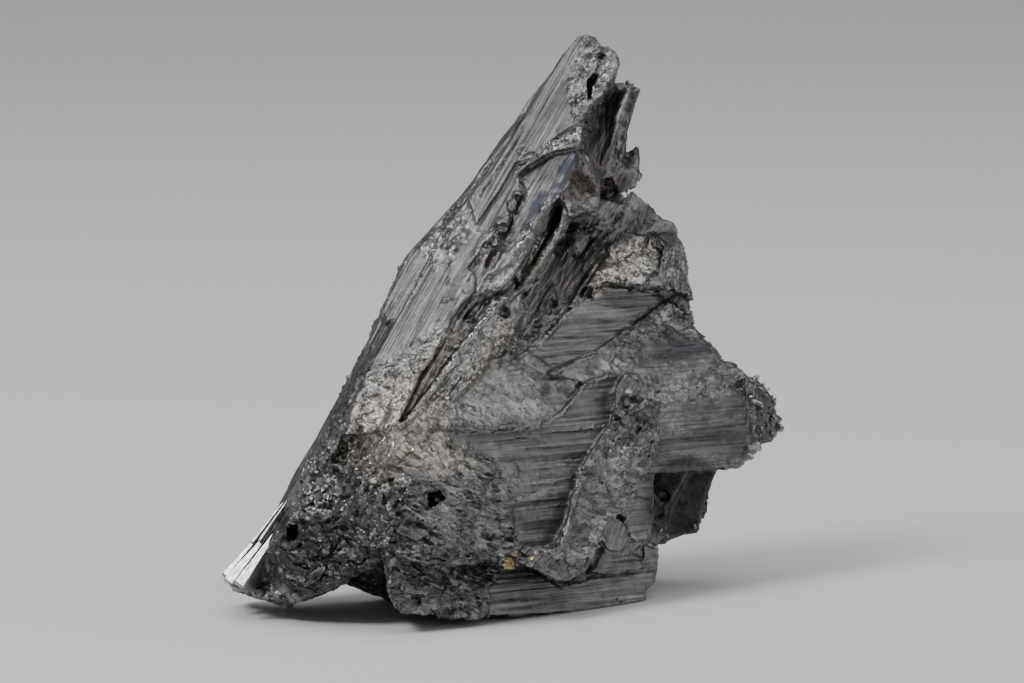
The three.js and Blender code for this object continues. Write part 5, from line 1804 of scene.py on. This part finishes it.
@dataclass
class EndCrystals(Crystals):
    """Small dark crystals that bristle on the broken right end and on lower edges.

    Attributes:
        count: How many stand on the right end.
        heights: Lowest v of that end and how far it reaches up, in mm.
        depths: Nearest depth of that end and how far it reaches back, in mm.
        right_of: Crystals stand only where the end reaches further than this u, in mm.
        singles: Places of single ones on the front: u and v, in mm.
    """

    count: int = 58
    heights: tuple[float, float] = (13.4, 7.2)
    depths: tuple[float, float] = (5, 8)
    right_of: float = 20.9
    singles: Line = (
        (13.5, 6.4), (13.2, 6.8), (14.0, 6.3), (15.9, 6.7), (16.5, 7.1), (12.9, 5.5), (9.4, 1.1),
        (9.8, 0.8), (22.2, 19.4), (15, 33), (14.4, 33.8), (11.2, 45.6), (10.9, 40.4), (9.7, 46.3),
        (10.4, 46.2), (10.9, 45.9), (11.6, 45.2), (11.8, 44.4),
    )

    def prism(self) -> bpy.types.Object:
        """Model a six-sided crystal of length 1 and half width 1 with a slanted point.

        Returns:
            The pattern.
        """
        bpy.ops.mesh.primitive_cylinder_add(vertices=6, radius=1, depth=0.75, location=(0, 0, 0.375))
        prism = settled()
        with editing(prism, "polygons", lambda face: face.normal.z > 0.9):
            bpy.ops.mesh.extrude_region_move(TRANSFORM_OT_translate={"value": (0.2, 0.1, 0.25)})
            bpy.ops.transform.resize(value=(0.35, 0.3, 1))
        return prism

    def build(self, body: bpy.types.Object) -> bpy.types.Object:
        """Stand the crystals.

        Args:
            body: What they stand on, in the sheet frame.

        Returns:
            The joined crystals, in the sheet frame.
        """
        places = []
        while len(places) < self.count:
            v = self.heights[0] + self.heights[1] * self.rng.random()
            depth = self.depths[0] + self.depths[1] * self.rng.random()
            hit, place, normal, _ = body.ray_cast(Vector((FAR, depth, v)), Vector((-1, 0, 0)))
            if hit and place.x > self.right_of:
                places.append(self._stand(place, normal, 0.35 + 0.8 * self.rng.random() ** 2))
        for u, v in self.singles:
            hit, place, normal, _ = body.ray_cast(Vector((u, -FAR, v)), Vector((0, 1, 0)))
            if hit:
                places.append(self._stand(place, normal, 0.4 + 0.3 * self.rng.random()))
        return join_pieces(self.copies(self.prism(), places), "end_crystals")

    def _stand(self, place: Vector, normal: Vector, length: float) -> Matrix:
        """Work out where one crystal goes, its root inside the body.

        Args:
            place: Where it leaves the body.
            normal: The body's normal there.
            length: Its length, in mm.

        Returns:
            The crystal's place, turn and size.
        """
        along = (normal + 0.55 * Vector(self.rng.standard_normal(3))).normalized()
        width = length * (0.22 + 0.18 * self.rng.random())
        shape = Matrix.Diagonal((width, width * 0.8, length, 1))
        return Matrix.Translation(place - along * 0.3 * length) @ self.turn(along) @ shape


@dataclass
class TailBlades(Crystals):
    """Bright flat blades that fan out along the tail.

    Attributes:
        facing: Where the blades' flat sides look.
        blades: Root and tip, each as u, v and depth, then half width and half thickness, in mm.
    """

    facing: tuple[float, float, float] = (-0.31, -0.87, 0.38)
    blades: tuple[tuple[float, ...], ...] = (
        (-19.5, 7.4, -6.9, -22.4, 2.25, -6.3, 0.52, 1.9), (-20.2, 7.2, -4.9, -23.4, 2.4, -4.1, 0.48, 1.9),
        (-20.9, 7.2, -3.3, -24.0, 2.9, -2.9, 0.26, 1.5), (-18.6, 10.2, -5.4, -21.0, 6.1, -4.8, 0.13, 1.2),
        (-19.3, 9.6, -4.4, -21.7, 5.9, -3.9, 0.12, 1.1), (-22.9, 2.9, -3.6, -19.4, 7.7, -4.0, 0.32, 1.5),
    )

    def blade(self) -> bpy.types.Object:
        """Model a flat blade of length 1 and half width 1 that narrows towards its root.

        Returns:
            The pattern.
        """
        bpy.ops.mesh.primitive_cube_add(size=1, location=(0, 0, 0.5))
        blade = settled()
        blade.data.transform(Matrix.Diagonal((2, 2, 1, 1)))
        self._narrow(blade, lambda point: point.co.z < 0.1, 0.3)
        with editing(blade):
            bpy.ops.mesh.bevel(offset=0.06, segments=1, affect="EDGES")
        return blade

    def build(self) -> bpy.types.Object:
        """Lay the blades in the sheet frame.

        Returns:
            The joined blades.
        """
        places = []
        for u0, v0, d0, u1, v1, d1, width, thick in self.blades:
            root, tip = Vector((u0, d0, v0)), Vector((u1, d1, v1))
            along = (tip - root).normalized()
            across = Vector(self.facing).cross(along).normalized()
            turn = Matrix((across, along.cross(across), along)).transposed().to_4x4()
            shape = Matrix.Diagonal((width, thick, (tip - root).length, 1))
            places.append(Matrix.Translation(root) @ turn @ shape)
        return join_pieces(self.copies(self.blade(), places), "tail_blades")


@dataclass
class PyriteGrains(Crystals):
    """Clusters of tiny pyrite cubes on the foot.

    Attributes:
        clusters: u, v, half width of the cluster, cube size and count.
    """

    clusters: tuple[tuple[float, float, float, float, int], ...] = (
        (0.02, 4.45, 0.42, 0.42, 13), (0.62, 5.35, 0.16, 0.22, 4), (2.1, 4.9, 0.14, 0.26, 3),
        (-3.1, 5.2, 0.1, 0.1, 2),
    )

    def cube(self) -> bpy.types.Object:
        """Model a cube of size 1 with worn edges.

        Returns:
            The pattern.
        """
        bpy.ops.mesh.primitive_cube_add(size=1)
        cube = settled()
        with editing(cube):
            bpy.ops.mesh.bevel(offset=0.1, segments=1, affect="EDGES")
        return cube

    def build(self, body: bpy.types.Object) -> bpy.types.Object:
        """Set the cubes into the body.

        Args:
            body: What they sit in, in the sheet frame.

        Returns:
            The joined cubes, in the sheet frame.
        """
        places = []
        for u, v, half, size, count in self.clusters:
            for _ in range(count):
                at_u = u + half * self.rng.uniform(-1, 1)
                at_v = v + half * self.rng.uniform(-1, 1)
                depth = depth_at(body, at_u, at_v)
                if depth is None:
                    continue
                edge = size * (0.55 + 0.6 * self.rng.random())
                turn = self.turn(Vector(self.rng.standard_normal(3)))
                place = Vector((at_u, depth - 0.12 * self.rng.random() - 0.06, at_v))
                places.append(Matrix.Translation(place) @ turn @ Matrix.Scale(edge, 4))
        return join_pieces(self.copies(self.cube(), places), "pyrite_grains")


def ride(piece: bpy.types.Object) -> None:
    """Fix a piece to the specimen's one body."""
    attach(piece, "root")


@dataclass
class Specimen:
    """The whole specimen: its grown body, the crystals on its end, its pyrite and its tail.

    Attributes:
        skin: The grown body.
    """

    skin: Skin = field(default_factory=Skin)

    def build(self, node: bpy.types.Object) -> list[bpy.types.Object]:
        """Build all its pieces.

        Args:
            node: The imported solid.

        Returns:
            The finished pieces.
        """
        surface, parts = self.skin.build(node)
        finish = parts[0].data.materials[0]
        bpy.context.view_layer.update()
        small = [(EndCrystals(seed=5).build(surface), finish, "andorite"),
                 (PyriteGrains(seed=3).build(surface), PyriteFinish().material(), "pyrite"),
                 (TailBlades(seed=2).build(), BladePaintedGlare().material(), "andorite")]
        bpy.data.objects.remove(surface)
        for piece, dress, slot in small:
            piece.data.transform(SHEET.to_row())
            piece.data.materials.clear()
            piece.data.materials.append(dress)
            ride(piece)
            parts.append(piece)
        return parts


# ---- Studio ----------------------------------------------------------------------------------------


@dataclass
class Lamp:
    """A soft square lamp.

    Attributes:
        place: Where it is, in metres.
        size: Its side, in metres.
        power: Its power, in watts.
    """

    place: tuple[float, float, float]
    size: float
    power: float

    def build(self, target: Vector) -> None:
        """Hang the lamp.

        Args:
            target: What it points at, in metres.
        """
        data = bpy.data.lights.new("lamp", "AREA")
        data.size, data.energy = self.size, self.power
        lamp = bpy.data.objects.new("lamp", data)
        bpy.context.scene.collection.objects.link(lamp)
        lamp.location = self.place
        lamp.rotation_euler = (target - Vector(self.place)).to_track_quat("-Z", "Y").to_euler()


@dataclass
class Studio:
    """Pale floor, soft light and the camera.

    Attributes:
        centre: Sheet point in the middle of the picture, in mm.
        width: Width of the picture at that point, in metres.
        distance: Camera distance, in metres.
        sensor: Width of the camera's sensor, in mm.
        floor: Side of the floor, in metres.
        sky: Brightness of the surroundings.
        sky_colour: Their colour.
        lamps: Soft lamps.
    """

    centre: tuple[float, float] = (0.304, 23.52)
    width: float = 0.08904
    distance: float = 0.6
    sensor: float = 36.0
    floor: float = 4.0
    sky: float = 0.2
    sky_colour: RGB = (0.9, 0.9, 0.91)
    lamps: tuple[Lamp, ...] = (
        Lamp((0.0, 0.05, 0.75), 0.8, 2.8),
        Lamp((-0.34, -0.26, 0.46), 0.2, 2.1),
        Lamp((0.52, -0.34, 0.26), 0.26, 0.5),
        Lamp((0.46, 0.0, 0.44), 0.2, 0.4),
    )

    def lay_floor(self) -> None:
        """Lay the floor and light the surroundings."""
        bpy.ops.mesh.primitive_plane_add(size=self.floor, location=(0, 0, 0))
        floor = bpy.context.active_object
        floor.name = "floor"
        floor.data.materials.append(FloorFinish().material())
        world = bpy.data.worlds.new("studio")
        bpy.context.scene.world = world
        world.use_nodes = True
        sky = world.node_tree.nodes["Background"]
        sky.inputs["Color"].default_value = (*self.sky_colour, 1)
        sky.inputs["Strength"].default_value = self.sky

    def build(self) -> None:
        """Set up the floor, the light and the camera."""
        self.lay_floor()
        target = SHEET.to_row() @ Vector((self.centre[0], 0, self.centre[1]))
        for lamp in self.lamps:
            lamp.build(target)
        data = bpy.data.cameras.new("camera")
        data.sensor_width = self.sensor
        data.lens = self.sensor * self.distance / self.width
        data.clip_end = 10
        camera = bpy.data.objects.new("camera", data)
        bpy.context.scene.collection.objects.link(camera)
        view = SHEET.turn().to_3x3() @ Vector((0, 1, 0))
        camera.location = target - view * self.distance
        camera.rotation_euler = view.to_track_quat("-Z", "Y").to_euler()
        bpy.context.scene.camera = camera


def corners(bounds: tuple[Vector, Vector]) -> list[list[float]]:
    """Return a box's two corners as plain lists."""
    return [[round(float(value), 6) for value in corner] for corner in bounds]


def main() -> None:
    """Build the specimen and its studio, and report each piece."""
    logging.basicConfig(level=logging.INFO, format="%(message)s")
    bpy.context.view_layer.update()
    for piece in Specimen().build(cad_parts["andorite_crystal"]):
        LOG.info("%s: %d faces", piece.name, len(piece.data.polygons))
    Studio().build()


if __name__ == "__main__":
    main()
